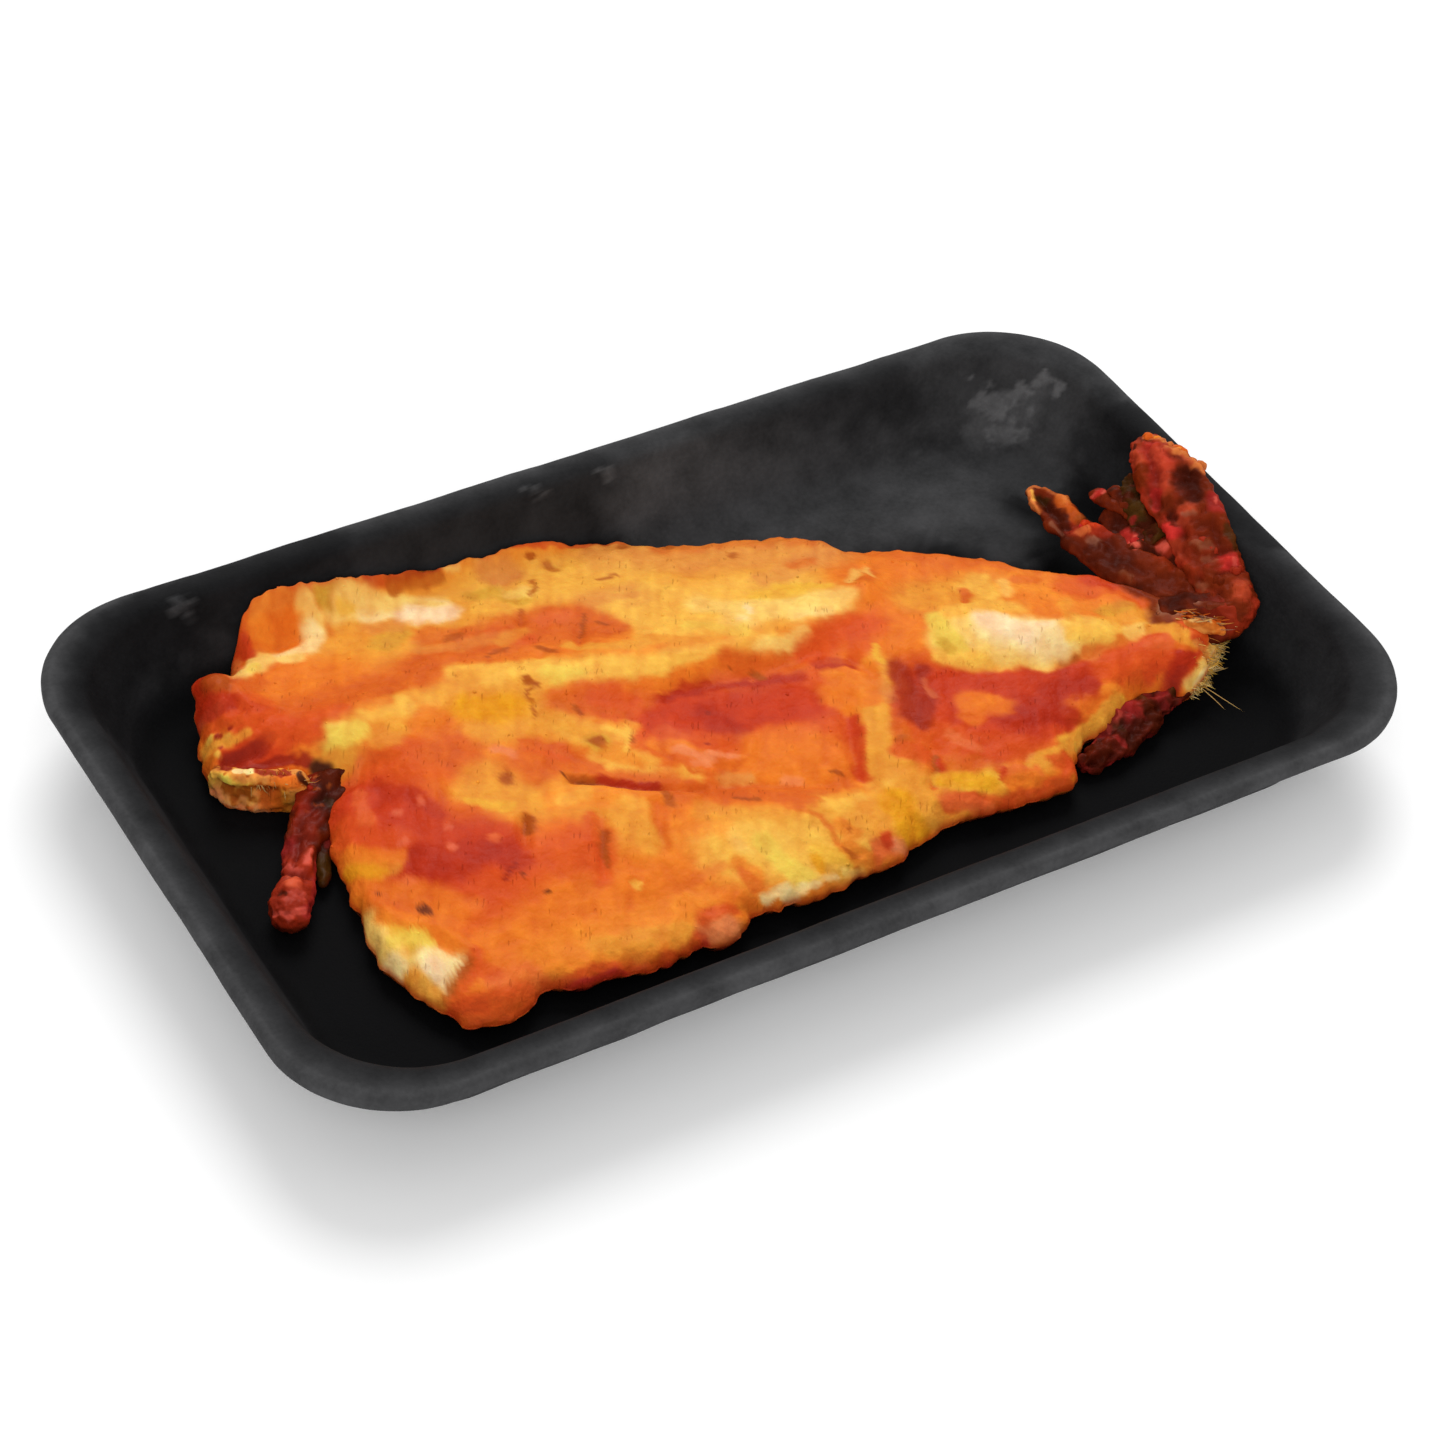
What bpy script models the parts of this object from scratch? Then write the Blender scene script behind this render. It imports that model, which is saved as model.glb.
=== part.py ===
"""A fried baby hake, opened flat and headless, lying in a shallow foam tray.

X runs along the tray, Y across it and Z up. The origin is under the middle of
the tray, on the surface that the tray stands on. Sizes and places are written
in millimetres and turned into metres when a mesh is made.

The tray is a loft of rounded rectangles. The hake is one solid: a body that
lies on the tray's floor and leans on its far wall, a collar stump at the head
end, a pectoral fin, the folded fin under the tail, and a tail fin with two
lobes, the right one resting on the tray's rim.
"""
import math

import bmesh
import bpy
import numpy as np

MM = 0.001
COLLECTION_NAME = "baby_hake_on_tray"
CONTACT_GAP = 0.3

# Tray
TRAY_LENGTH = 225.0
TRAY_WIDTH = 135.0
TRAY_HEIGHT = 20.0
TRAY_SHEET = 3.0
RIM_CORNER_RADIUS = 23.5
FLOOR_CORNER_RADIUS = 20.0
WALL_SLOPE = math.radians(65.0)
LIP_TOP_START = 1.4
LIP_TOP_END = 4.0
LIP_INNER_RADIUS = 3.0
LIP_DROP = 3.2
FLOOR_FILLET = 6.0
POINTS_PER_CORNER = 11

# Hake body: the outline as seen from above
FAR_EDGE = ((-62.0, 58.6), (-54.5, 58.3), (-43.5, 57.4), (-35.5, 56.2), (-26.5, 56.0), (-17.0, 56.3),
            (-8.0, 55.3), (6.5, 51.4), (22.5, 46.0), (32.5, 42.1), (41.0, 37.4), (44.5, 33.8), (53.0, 27.2),
            (60.0, 19.4), (72.0, 8.8), (80.0, 2.0), (84.0, -2.5))
TAIL_END = ((84.0, -2.5), (87.6, -9.5), (91.0, -14.6), (94.8, -19.8), (95.8, -24.0), (92.5, -26.8),
            (84.0, -27.3))
NEAR_EDGE = ((84.0, -27.3), (75.0, -29.5), (63.0, -34.0), (55.0, -37.3), (49.5, -41.3), (34.0, -41.4),
             (24.0, -40.4), (13.5, -42.4), (4.0, -45.0), (-2.0, -45.0), (-12.0, -43.9), (-19.5, -43.4),
             (-25.0, -46.6), (-31.0, -47.3), (-43.0, -45.8), (-54.0, -44.2), (-60.0, -43.9), (-67.0, -45.1))
HEAD_END = ((-67.0, -45.1), (-73.0, -44.2), (-77.2, -40.3), (-80.2, -32.0), (-83.9, -26.5), (-82.3, -18.0),
            (-79.2, -7.6), (-76.0, 8.0), (-71.5, 18.0), (-75.0, 26.0), (-79.5, 36.0), (-76.5, 46.5),
            (-73.6, 51.6), (-69.0, 56.6), (-62.0, 58.6))
MIDLINE = ((-58.0, 12.0), (-20.0, 5.0), (20.0, -4.0), (60.0, -12.0), (84.0, -16.5))
STATION_STEP = 3.2
HEAD_END_POINTS = 32
TAIL_END_POINTS = 12
# How far each ring of points lies from the outline (0) towards the midline (1)
TOP_RINGS = (0.0, 0.02, 0.055, 0.11, 0.19, 0.28, 0.37, 0.46, 0.55, 0.64, 0.73, 0.82, 0.91, 1.0)
UNDER_RINGS = (0.0, 0.03, 0.1, 0.3, 0.65, 1.0)
EDGE_ROUNDING = 5.0

# Thickness of the body along X: at the far edge, on the midline and at the near edge
THICKNESS_X = (-84.0, -60.0, -20.0, 20.0, 55.0, 80.0, 98.0)
FAR_THICKNESS = (5.0, 4.8, 5.0, 5.0, 6.5, 8.5, 8.0)
MID_THICKNESS = (9.0, 10.0, 9.6, 9.4, 9.8, 9.0, 8.0)
NEAR_THICKNESS = (5.5, 6.0, 6.2, 6.0, 6.0, 6.5, 7.0)
TAIL_LIFT = 3.0
TAIL_LIFT_START = 74.0
TAIL_LIFT_END = 97.0

# Raised and sunk stretches of the body's top: course, height and half-width
SWELLS = {
    "far loin": (((-66.0, 24.0), (-40.0, 24.5), (-20.0, 18.5), (4.0, 15.5), (36.0, 14.0)), 3.6, 8.0),
    "far flank": (((-50.0, 40.0), (-10.0, 37.0), (20.0, 29.0)), 1.2, 9.0),
    "near flank": (((-55.0, -18.0), (-25.0, -24.0), (0.0, -31.0)), 1.8, 9.0),
    "cross ridge": (((34.0, 2.0), (27.0, -10.0), (21.0, -20.0), (17.0, -31.0)), 1.7, 6.0),
    "tail loin": (((47.0, 2.0), (60.0, -4.0), (72.0, -14.0)), 2.6, 7.0),
    "tail near side": (((60.0, -27.0), (78.0, -23.0), (90.0, -20.0)), 1.5, 5.0),
    "main crease": (((-35.0, 4.0), (-30.0, -4.0), (-16.0, -15.0), (-2.0, -22.0), (12.0, -29.0)), -1.8, 4.4),
    "middle dish": (((-12.0, 4.0), (4.0, -3.0), (14.0, -8.0)), -1.5, 7.0),
    "tail dish": (((34.0, -12.0), (48.0, -20.0), (60.0, -23.0)), -1.6, 6.0),
    "collar dip": (((-72.0, 20.0), (-66.0, 8.0)), -1.5, 5.0),
}

# Lofted limbs: centre line, half-width and half-thickness at each of its points, and the
# direction in which the width lies
COLLAR = {
    "course": ((-73.0, 50.5, 9.0), (-78.2, 45.5, 9.2), (-81.9, 37.5, 8.8), (-84.2, 29.5, 8.2),
               (-84.8, 25.4, 7.4)),
    "half_widths": (3.6, 5.2, 6.0, 6.2, 5.0),
    "half_thicknesses": (3.6, 5.0, 5.4, 4.9, 3.7),
    "across": (0.85, 0.5, 0.0),
}
NECK = {
    "course": ((-85.5, 27.6, 7.3), (-80.0, 25.4, 7.5), (-74.0, 25.2, 8.3), (-66.0, 27.0, 9.4)),
    "half_widths": (4.0, 5.6, 6.6, 6.0),
    "half_thicknesses": (3.2, 4.1, 4.9, 5.0),
    "across": (0.0, 1.0, 0.0),
}
PECTORAL_FIN = {
    "course": ((-66.0, 25.0, 8.5), (-73.2, 17.0, 7.4), (-79.3, 7.5, 6.6), (-85.0, 0.2, 6.3),
               (-89.6, -5.6, 6.6), (-91.6, -8.6, 6.6)),
    "half_widths": (3.6, 3.7, 3.1, 2.9, 3.5, 2.2),
    "half_thicknesses": (2.8, 2.9, 2.5, 2.4, 3.1, 1.9),
    "across": (0.78, -0.62, 0.0),
}
UNDER_FIN = {
    "course": ((53.0, -36.4, 5.2), (62.0, -35.8, 5.0), (74.0, -32.6, 5.0), (84.0, -29.4, 6.2),
               (91.0, -25.6, 8.4)),
    "half_widths": (2.2, 3.4, 3.2, 2.9, 2.4),
    "half_thicknesses": (1.2, 1.4, 1.4, 1.4, 1.4),
    "across": (0.2, 1.0, 0.12),
}
TAIL_ROOT = {
    "course": ((82.0, -16.4, 9.4), (90.0, -18.6, 11.2), (95.5, -20.4, 13.4), (99.2, -21.0, 15.4),
               (101.2, -21.2, 16.6)),
    "half_widths": (7.0, 7.4, 7.0, 5.8, 3.2),
    "half_thicknesses": (3.6, 3.2, 2.6, 1.9, 1.2),
    "across": (0.3, -1.0, 0.0),
}
LEFT_LOBE = {
    "course": ((94.5, -13.0, 12.6), (92.2, -4.0, 11.4), (90.0, 5.0, 10.4), (87.4, 14.0, 9.8),
               (85.9, 22.0, 9.8), (86.0, 28.2, 10.2)),
    "half_widths": (6.0, 6.0, 5.9, 5.3, 3.9, 1.8),
    "half_thicknesses": (1.8, 1.8, 1.9, 1.8, 1.5, 0.8),
    "across": (1.0, 0.25, 0.22),
}
RIGHT_LOBE = {
    "course": ((97.6, -17.0, 14.0), (99.4, -9.0, 16.6), (101.4, -1.0, 19.2), (103.8, 7.0, 20.9),
               (105.3, 14.4, 21.7), (105.2, 19.4, 21.9), (104.6, 22.0, 21.9)),
    "half_widths": (6.0, 6.2, 6.4, 6.5, 5.8, 4.2, 2.0),
    "half_thicknesses": (2.1, 1.9, 1.7, 1.4, 1.2, 1.1, 0.7),
    "across": (1.0, -0.2, 0.36),
}
WEB = {
    "course": ((95.4, -12.0, 14.0), (94.6, -2.0, 14.0), (93.6, 8.0, 14.4), (93.4, 15.4, 15.0)),
    "half_widths": (5.0, 5.2, 4.2, 2.2),
    "half_thicknesses": (1.4, 1.3, 1.2, 0.8),
    "across": (1.0, 0.0, 0.5),
}
LIMB_SIDES = 12
LIMB_STEPS = 3

# Looks of the two pieces: base colour, roughness
FOAM_COLOUR = (0.018, 0.018, 0.019)
FOAM_ROUGHNESS = 0.55
CRUST_COLOUR = (0.72, 0.24, 0.035)
CRUST_ROUGHNESS = 0.38


def clear_scene():
    """Removes every object that the scene holds."""
    for item in list(bpy.data.objects):
        bpy.data.objects.remove(item, do_unlink=True)


def make_material(name, colour, roughness):
    """Makes a material with a Principled BSDF of one colour."""
    material = bpy.data.materials.new(name)
    material.use_nodes = True
    shader = material.node_tree.nodes["Principled BSDF"]
    shader.inputs["Base Color"].default_value = (*colour, 1.0)
    shader.inputs["Roughness"].default_value = roughness
    shader.inputs["Metallic"].default_value = 0.0
    return material


def make_object(name, rows, faces, collection):
    """Makes a mesh object from points in millimetres, its faces pointing outwards."""
    mesh = bpy.data.meshes.new(name)
    mesh.from_pydata((np.asarray(rows) * MM).tolist(), [], faces)
    shape = bmesh.new()
    shape.from_mesh(mesh)
    bmesh.ops.recalc_face_normals(shape, faces=shape.faces)
    bmesh.ops.triangulate(shape, faces=[face for face in shape.faces if len(face.verts) > 4])
    shape.to_mesh(mesh)
    shape.free()
    mesh.shade_smooth()
    item = bpy.data.objects.new(name, mesh)
    collection.objects.link(item)
    return item


# ---------------------------------------------------------------- curves

def smooth_curve(points, steps):
    """Points on a Catmull-Rom curve through the given ones, with `steps` to a span."""
    points = np.asarray(points, dtype=float)
    before = 2.0 * points[0] - points[1]
    after = 2.0 * points[-1] - points[-2]
    padded = np.vstack([before, points, after])
    t = (np.arange(steps) / steps)[:, None]
    spans = []
    for a, b, c, d in zip(padded[:-3], padded[1:-2], padded[2:-1], padded[3:]):
        spans.append(0.5 * (2.0 * b + (c - a) * t + (2.0 * a - 5.0 * b + 4.0 * c - d) * t ** 2
                            + (3.0 * b - a - 3.0 * c + d) * t ** 3))
    spans.append(points[-1:])
    return np.vstack(spans)


def even_points(points, count):
    """`count` points at even distances along the smooth curve through the given ones."""
    curve = smooth_curve(points, 24)
    lengths = np.concatenate([[0.0], np.cumsum(np.linalg.norm(np.diff(curve, axis=0), axis=1))])
    wanted = np.linspace(0.0, lengths[-1], count)
    return np.column_stack([np.interp(wanted, lengths, axis) for axis in curve.T])


def height_along(points, x):
    """Y of a smooth curve at each X, for a curve that only runs one way in X."""
    curve = smooth_curve(points, 24)
    curve = curve[np.argsort(curve[:, 0])]
    return np.interp(x, curve[:, 0], curve[:, 1])


def distance_to_path(x, y, path):
    """Distance of each point from a path of straight stretches, seen from above."""
    best = np.full(np.shape(x), np.inf)
    for (ax, ay), (bx, by) in zip(path[:-1], path[1:]):
        dx = bx - ax
        dy = by - ay
        along = np.clip(((x - ax) * dx + (y - ay) * dy) / (dx * dx + dy * dy), 0.0, 1.0)
        best = np.minimum(best, np.hypot(x - ax - along * dx, y - ay - along * dy))
    return best


def smooth_step(value):
    """Rises from 0 to 1 with level ends while value goes from 0 to 1."""
    t = np.clip(value, 0.0, 1.0)
    return t * t * (3.0 - 2.0 * t)


# ---------------------------------------------------------------- tray

def tray_inner_profile():
    """Inset from the rim's outer edge and height, from the lip's top down to the floor."""
    turn = np.linspace(0.0, WALL_SLOPE, 4)
    lip = np.column_stack([LIP_TOP_END + LIP_INNER_RADIUS * np.sin(turn),
                           TRAY_HEIGHT - LIP_INNER_RADIUS + LIP_INNER_RADIUS * np.cos(turn)])
    fillet_top = TRAY_SHEET + FLOOR_FILLET * (1.0 - math.cos(WALL_SLOPE))
    wall_run = (lip[-1, 1] - fillet_top) / math.tan(WALL_SLOPE)
    floor_inset = lip[-1, 0] + wall_run + FLOOR_FILLET * math.sin(WALL_SLOPE)
    turn = np.linspace(WALL_SLOPE, 0.0, 5)
    fillet = np.column_stack([floor_inset - FLOOR_FILLET * np.sin(turn),
                              TRAY_SHEET + FLOOR_FILLET * (1.0 - np.cos(turn))])
    return np.vstack([lip, fillet])


def tray_outer_profile(floor_inset):
    """Inset and height from the underside's flat, up the wall and round the lip."""
    outer_fillet = FLOOR_FILLET + TRAY_SHEET
    turn = np.linspace(0.0, WALL_SLOPE, 4)
    fillet = np.column_stack([floor_inset - outer_fillet * np.sin(turn), outer_fillet * (1.0 - np.cos(turn))])
    lip_under = TRAY_HEIGHT - LIP_DROP
    wall_top = fillet[-1, 0] - (lip_under - fillet[-1, 1]) / math.tan(WALL_SLOPE)
    round_off = LIP_TOP_START
    lip = ((wall_top, lip_under), (0.6, lip_under), (0.0, lip_under + 0.6), (0.0, TRAY_HEIGHT - round_off),
           (0.4 * round_off, TRAY_HEIGHT - 0.4 * round_off), (round_off, TRAY_HEIGHT))
    return np.vstack([fillet, lip])


INNER_PROFILE = tray_inner_profile()
FLOOR_INSET = float(INNER_PROFILE[-1, 0])


def corner_radius(inset):
    """Corner radius of the tray's rounded rectangle at an inset from the rim."""
    share = np.clip(inset / FLOOR_INSET, 0.0, 1.0)
    return RIM_CORNER_RADIUS + (FLOOR_CORNER_RADIUS - RIM_CORNER_RADIUS) * share


def tray_ring(inset, height):
    """One rounded rectangle of the tray, as rows of X, Y, Z, anticlockwise from +X."""
    radius = corner_radius(inset)
    half_x = TRAY_LENGTH / 2.0 - inset - radius
    half_y = TRAY_WIDTH / 2.0 - inset - radius
    rows = []
    for quarter, (sign_x, sign_y) in enumerate(((1, 1), (-1, 1), (-1, -1), (1, -1))):
        angle = np.linspace(0.0, math.pi / 2.0, POINTS_PER_CORNER) + quarter * math.pi / 2.0
        rows.append(np.column_stack([sign_x * half_x + radius * np.cos(angle),
                                     sign_y * half_y + radius * np.sin(angle), np.full(angle.shape, height)]))
    return np.vstack(rows)


def tray_inset(x, y):
    """Inset of the ring that passes through each point, found by halving an interval."""
    x = np.abs(x)
    y = np.abs(y)
    low = np.full(np.shape(x), -20.0)
    high = np.full(np.shape(x), TRAY_WIDTH / 2.0 - FLOOR_CORNER_RADIUS)
    for _ in range(30):
        middle = (low + high) / 2.0
        radius = corner_radius(middle)
        corner_x = np.maximum(x - (TRAY_LENGTH / 2.0 - middle - radius), 0.0)
        corner_y = np.maximum(y - (TRAY_WIDTH / 2.0 - middle - radius), 0.0)
        inside = np.hypot(corner_x, corner_y) < radius
        low = np.where(inside, middle, low)
        high = np.where(inside, high, middle)
    return (low + high) / 2.0


def tray_surface(x, y):
    """Height of the tray's inner surface under each point."""
    return np.interp(tray_inset(x, y), INNER_PROFILE[:, 0], INNER_PROFILE[:, 1])


def build_tray(collection):
    """The foam tray: rings from the underside, round the lip and down to the floor."""
    profile = np.vstack([tray_outer_profile(FLOOR_INSET), INNER_PROFILE])
    rings = [tray_ring(inset, height) for inset, height in profile]
    count = len(rings[0])
    faces = [tuple(reversed(range(count)))]
    for level in range(len(rings) - 1):
        for step in range(count):
            after = (step + 1) % count
            base = level * count
            faces.append((base + step, base + after, base + count + after, base + count + step))
    last = (len(rings) - 1) * count
    faces.append(tuple(range(last, last + count)))
    return make_object("tray", np.vstack(rings), faces, collection)


# ---------------------------------------------------------------- hake

def body_outline():
    """Outline points and the midline point that each one's row of rings runs to."""
    midline = np.asarray(MIDLINE)
    first_x = midline[0, 0]
    last_x = midline[-1, 0]
    stations = np.linspace(first_x, last_x, int((last_x - first_x) / STATION_STEP) + 1)
    far = np.column_stack([stations, height_along(FAR_EDGE, stations)])
    near = np.column_stack([stations, height_along(NEAR_EDGE, stations)])[::-1]
    middle = np.column_stack([stations, height_along(MIDLINE, stations)])
    tail = even_points(((far[-1]), *TAIL_END[:-1], (near[0])), TAIL_END_POINTS + 2)[1:-1]
    head = even_points(((near[-1]), *HEAD_END[:-1], (far[0])), HEAD_END_POINTS + 2)[1:-1]
    outline = np.vstack([far, tail, near, head])
    targets = np.vstack([middle, np.repeat(middle[-1:], len(tail), axis=0), middle[::-1],
                         np.repeat(middle[:1], len(head), axis=0)])
    return outline, targets


def body_thickness(x, y, share):
    """Thickness of the body: from the edge's value (share 0) to the midline's (share 1)."""
    far = np.interp(x, THICKNESS_X, FAR_THICKNESS)
    near = np.interp(x, THICKNESS_X, NEAR_THICKNESS)
    edge = np.where(y > height_along(MIDLINE, x), far, near)
    middle = np.interp(x, THICKNESS_X, MID_THICKNESS)
    return edge + (middle - edge) * np.sin(share * math.pi / 2.0)


def body_relief(x, y):
    """Height that the swells and creases add to the body's top, each a bell across its course."""
    total = np.zeros(np.shape(x))
    for course, height, half_width in SWELLS.values():
        total = total + height * np.exp(-(distance_to_path(x, y, course) / half_width) ** 2)
    return total


def body_underside(x, y):
    """The underside lies on the tray, and rises towards the tail."""
    lift = TAIL_LIFT * smooth_step((x - TAIL_LIFT_START) / (TAIL_LIFT_END - TAIL_LIFT_START))
    return tray_surface(x, y) + CONTACT_GAP + lift


def body_rows(outline, targets, rings):
    """Plan points, ring share and distance from the outline of every ring, outermost first."""
    shares = np.array(rings)[:, None, None]
    plan = (outline + (targets - outline) * shares).reshape(-1, 2)
    reach = np.linalg.norm(targets - outline, axis=1)
    inward = (shares[..., 0] * reach).ravel()
    return plan, np.repeat(rings, len(outline)), inward


def body_heights(plan, share, inward):
    """Heights of the body's underside and top at each point, with a round outer edge."""
    x, y = plan.T
    half = body_thickness(x, y, share) / 2.0
    closeness = np.clip(inward / EDGE_ROUNDING, 0.0, 1.0)
    rounding = np.sqrt(1.0 - (1.0 - closeness) ** 2)
    underside = body_underside(x, y)
    relief = body_relief(x, y) * smooth_step(closeness)
    return underside + half * (1.0 - rounding), underside + half * (1.0 + rounding) + relief


def ring_faces(starts, count, flip):
    """Faces between successive rings of `count` points whose first points are at `starts`."""
    faces = []
    for outer, inner in zip(starts[:-1], starts[1:]):
        for step in range(count):
            after = (step + 1) % count
            face = (outer + step, outer + after, inner + after, inner + step)
            faces.append(face[::-1] if flip else face)
    return faces


def build_body(collection):
    """The opened body: rings from the outline in to the midline, above and below."""
    outline, targets = body_outline()
    count = len(outline)
    top_plan, top_share, top_inward = body_rows(outline, targets, TOP_RINGS)
    under_plan, under_share, under_inward = body_rows(outline, targets, UNDER_RINGS)
    top = body_heights(top_plan, top_share, top_inward)[1]
    under = body_heights(under_plan, under_share, under_inward)[0]
    rows = np.vstack([np.column_stack([top_plan, top]), np.column_stack([under_plan, under])[count:]])
    top_starts = [level * count for level in range(len(TOP_RINGS))]
    under_starts = [0] + [(len(TOP_RINGS) + level) * count for level in range(len(UNDER_RINGS) - 1)]
    faces = ring_faces(top_starts, count, False) + ring_faces(under_starts, count, True)
    body = make_object("hake", rows, faces, collection)
    weld(body)
    return body


def weld(item):
    """Merges points that lie together and drops the flat faces that this leaves."""
    shape = bmesh.new()
    shape.from_mesh(item.data)
    bmesh.ops.remove_doubles(shape, verts=shape.verts, dist=0.00001)
    bmesh.ops.dissolve_degenerate(shape, edges=shape.edges, dist=0.00001)
    bmesh.ops.recalc_face_normals(shape, faces=shape.faces)
    bmesh.ops.triangulate(shape, faces=shape.faces)
    shape.to_mesh(item.data)
    shape.free()


def build_limb(name, limb, collection):
    """A closed loft of oval sections along a smooth course, square to it."""
    course = smooth_curve(limb["course"], LIMB_STEPS)
    widths = smooth_curve(np.array(limb["half_widths"])[:, None], LIMB_STEPS)
    depths = smooth_curve(np.array(limb["half_thicknesses"])[:, None], LIMB_STEPS)
    along = np.gradient(course, axis=0)
    along /= np.linalg.norm(along, axis=1)[:, None]
    across = np.tile(np.array(limb["across"], dtype=float), (len(course), 1))
    across -= along * np.sum(across * along, axis=1)[:, None]
    across /= np.linalg.norm(across, axis=1)[:, None]
    normal = np.cross(along, across)
    angle = np.linspace(0.0, 2.0 * math.pi, LIMB_SIDES, endpoint=False)
    rows = (course[:, None] + across[:, None] * (widths * np.cos(angle))[..., None]
            + normal[:, None] * (depths * np.sin(angle))[..., None]).reshape(-1, 3)
    faces = [tuple(reversed(range(LIMB_SIDES)))]
    for level in range(len(course) - 1):
        for step in range(LIMB_SIDES):
            after = (step + 1) % LIMB_SIDES
            base = level * LIMB_SIDES
            faces.append((base + step, base + after, base + LIMB_SIDES + after, base + LIMB_SIDES + step))
    last = (len(course) - 1) * LIMB_SIDES
    faces.append(tuple(range(last, last + LIMB_SIDES)))
    limb_object = make_object(name, rows, faces, collection)
    limb_object.hide_render = True
    limb_object.display_type = "WIRE"
    return limb_object


def build_hake(collection, joined):
    """The whole fish: the body with its collar, fins and tail united with it."""
    hake = build_body(collection)
    limbs = {"collar": COLLAR, "neck": NECK, "pectoral_fin": PECTORAL_FIN, "under_fin": UNDER_FIN,
             "tail_root": TAIL_ROOT, "left_lobe": LEFT_LOBE, "right_lobe": RIGHT_LOBE, "web": WEB}
    for name, limb in limbs.items():
        union = hake.modifiers.new(name, "BOOLEAN")
        union.operation = "UNION"
        union.object = build_limb(name, limb, joined)
    return hake


def main():
    """Builds the tray and the hake and gives each its material."""
    clear_scene()
    pieces = bpy.data.collections.new(COLLECTION_NAME)
    joined = bpy.data.collections.new("joined_limbs")
    bpy.context.scene.collection.children.link(pieces)
    bpy.context.scene.collection.children.link(joined)
    tray = build_tray(pieces)
    tray.data.materials.append(make_material("black_foam", FOAM_COLOUR, FOAM_ROUGHNESS))
    hake = build_hake(pieces, joined)
    hake.data.materials.append(make_material("fried_crust", CRUST_COLOUR, CRUST_ROUGHNESS))


main()
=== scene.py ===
"""Looks of a fried baby hake, opened flat and headless, in a shallow black foam tray.

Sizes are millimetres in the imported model's own frame: X along the tray, Y across it towards
the long wall that the fish leans on, Z up. Meshes are turned into metres when they are made.

Every surface is worked out as whole numpy arrays: a height over a plan, or an oval section
carried along a course. Colour is laid on like paint, as named strokes with soft, uneven
edges, kept in the mesh as the attribute "paint". The materials read it and add the fine
grain, the oil and the pores.
"""
from __future__ import annotations

import logging
import math
from dataclasses import dataclass
from enum import Enum

import bmesh
import bpy
import numpy as np
from mathutils import Matrix


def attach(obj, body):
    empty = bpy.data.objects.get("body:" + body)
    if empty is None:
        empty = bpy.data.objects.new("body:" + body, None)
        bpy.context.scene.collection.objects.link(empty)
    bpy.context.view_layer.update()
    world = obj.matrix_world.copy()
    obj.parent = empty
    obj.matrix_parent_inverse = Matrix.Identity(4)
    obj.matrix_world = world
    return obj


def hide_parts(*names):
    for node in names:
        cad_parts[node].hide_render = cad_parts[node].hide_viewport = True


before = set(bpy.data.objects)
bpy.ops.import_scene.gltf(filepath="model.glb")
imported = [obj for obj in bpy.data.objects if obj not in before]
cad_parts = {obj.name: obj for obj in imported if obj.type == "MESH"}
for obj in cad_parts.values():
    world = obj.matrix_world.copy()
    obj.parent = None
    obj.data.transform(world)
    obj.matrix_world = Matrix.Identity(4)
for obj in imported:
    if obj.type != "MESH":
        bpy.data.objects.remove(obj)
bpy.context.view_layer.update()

MM = 0.001
WELD = 0.002
SPAN = 24
FULL_TURN = 2.0 * math.pi
PAINT = "paint"
WET = "wet"
Array = np.ndarray
Course = tuple[tuple[float, ...], ...]
Triple = tuple[float, float, float]
Piece = bpy.types.Object
Material = bpy.types.Material
log = logging.getLogger("baby_hake")


class Tone(Enum):
    """The colours of the fish and the tray, as display values from 0 to 255."""

    CREAM = (254, 224, 162)
    PINK_CREAM = (254, 220, 180)
    STRAW = (251, 207, 114)
    PALE_GOLD = (249, 192, 82)
    LEMON = (240, 206, 88)
    YELLOW = (242, 184, 62)
    GOLD = (237, 160, 58)
    TAN = (226, 144, 70)
    OLIVE = (208, 158, 52)
    AMBER = (236, 160, 22)
    BRIGHT_ORANGE = (246, 145, 48)
    ORANGE = (236, 124, 36)
    # a salmon pink laid on as painted highlights on ridges, lumps and the cut face's lower side
    CORAL = (242, 142, 96)
    SALMON = (234, 112, 58)
    BURNT = (219, 100, 30)
    RED_ORANGE = (219, 83, 30)
    RED = (201, 59, 24)
    DEEP_RED = (175, 41, 17)
    MAROON = (150, 35, 18)
    BROWN = (168, 76, 18)
    DARK = (108, 44, 10)
    CHAR = (62, 24, 12)
    CRIMSON = (190, 44, 42)
    WINE = (150, 36, 36)
    FIN_RED = (156, 44, 24)
    FIN_BRICK = (174, 64, 40)
    FIN_ORANGE = (206, 114, 60)
    FIN_BROWN = (108, 34, 9)
    FIN_DARK = (70, 20, 5)
    FIN_OLIVE = (64, 38, 8)
    # a pink laid on the fins, nubs and fin lumps as painted highlights
    FIN_PINK = (206, 84, 74)
    SINEW = (156, 112, 98)
    FIBRE = (224, 182, 118)
    # a pink laid on as painted highlights on the collar, the near flank and the pectoral fin
    BLUSH = (226, 104, 74)
    # Tones of one black foam, painted lit and shaded: the lip's tone is a painted sheen, the walls' tone
    # lies between, the floor's dark tone is painted shade, the pale floor tone is a painted sheen of the
    # key light, and the scuff tone is scuffs that are partly painted sheen.
    LIP = (66, 66, 67)
    WALL = (37, 37, 38)
    FLOOR = (13, 13, 14)
    FLOOR_PALE = (62, 62, 63)
    SCUFF = (96, 96, 97)

    def display(self) -> Array:
        """The colour as display values from 0 to 1."""
        return np.array(self.value) / 255.0


def to_linear(display: Array) -> Array:
    """Turns display values into the linear ones that shaders work in."""
    return np.where(display <= 0.04045, display / 12.92, ((display + 0.055) / 1.055) ** 2.4)


# ---- curves and fields

def smooth_step(value: Array | float) -> Array:
    """Rises from 0 to 1 with level ends while value goes from 0 to 1."""
    t = np.clip(value, 0.0, 1.0)
    return t * t * (3.0 - 2.0 * t)


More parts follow.
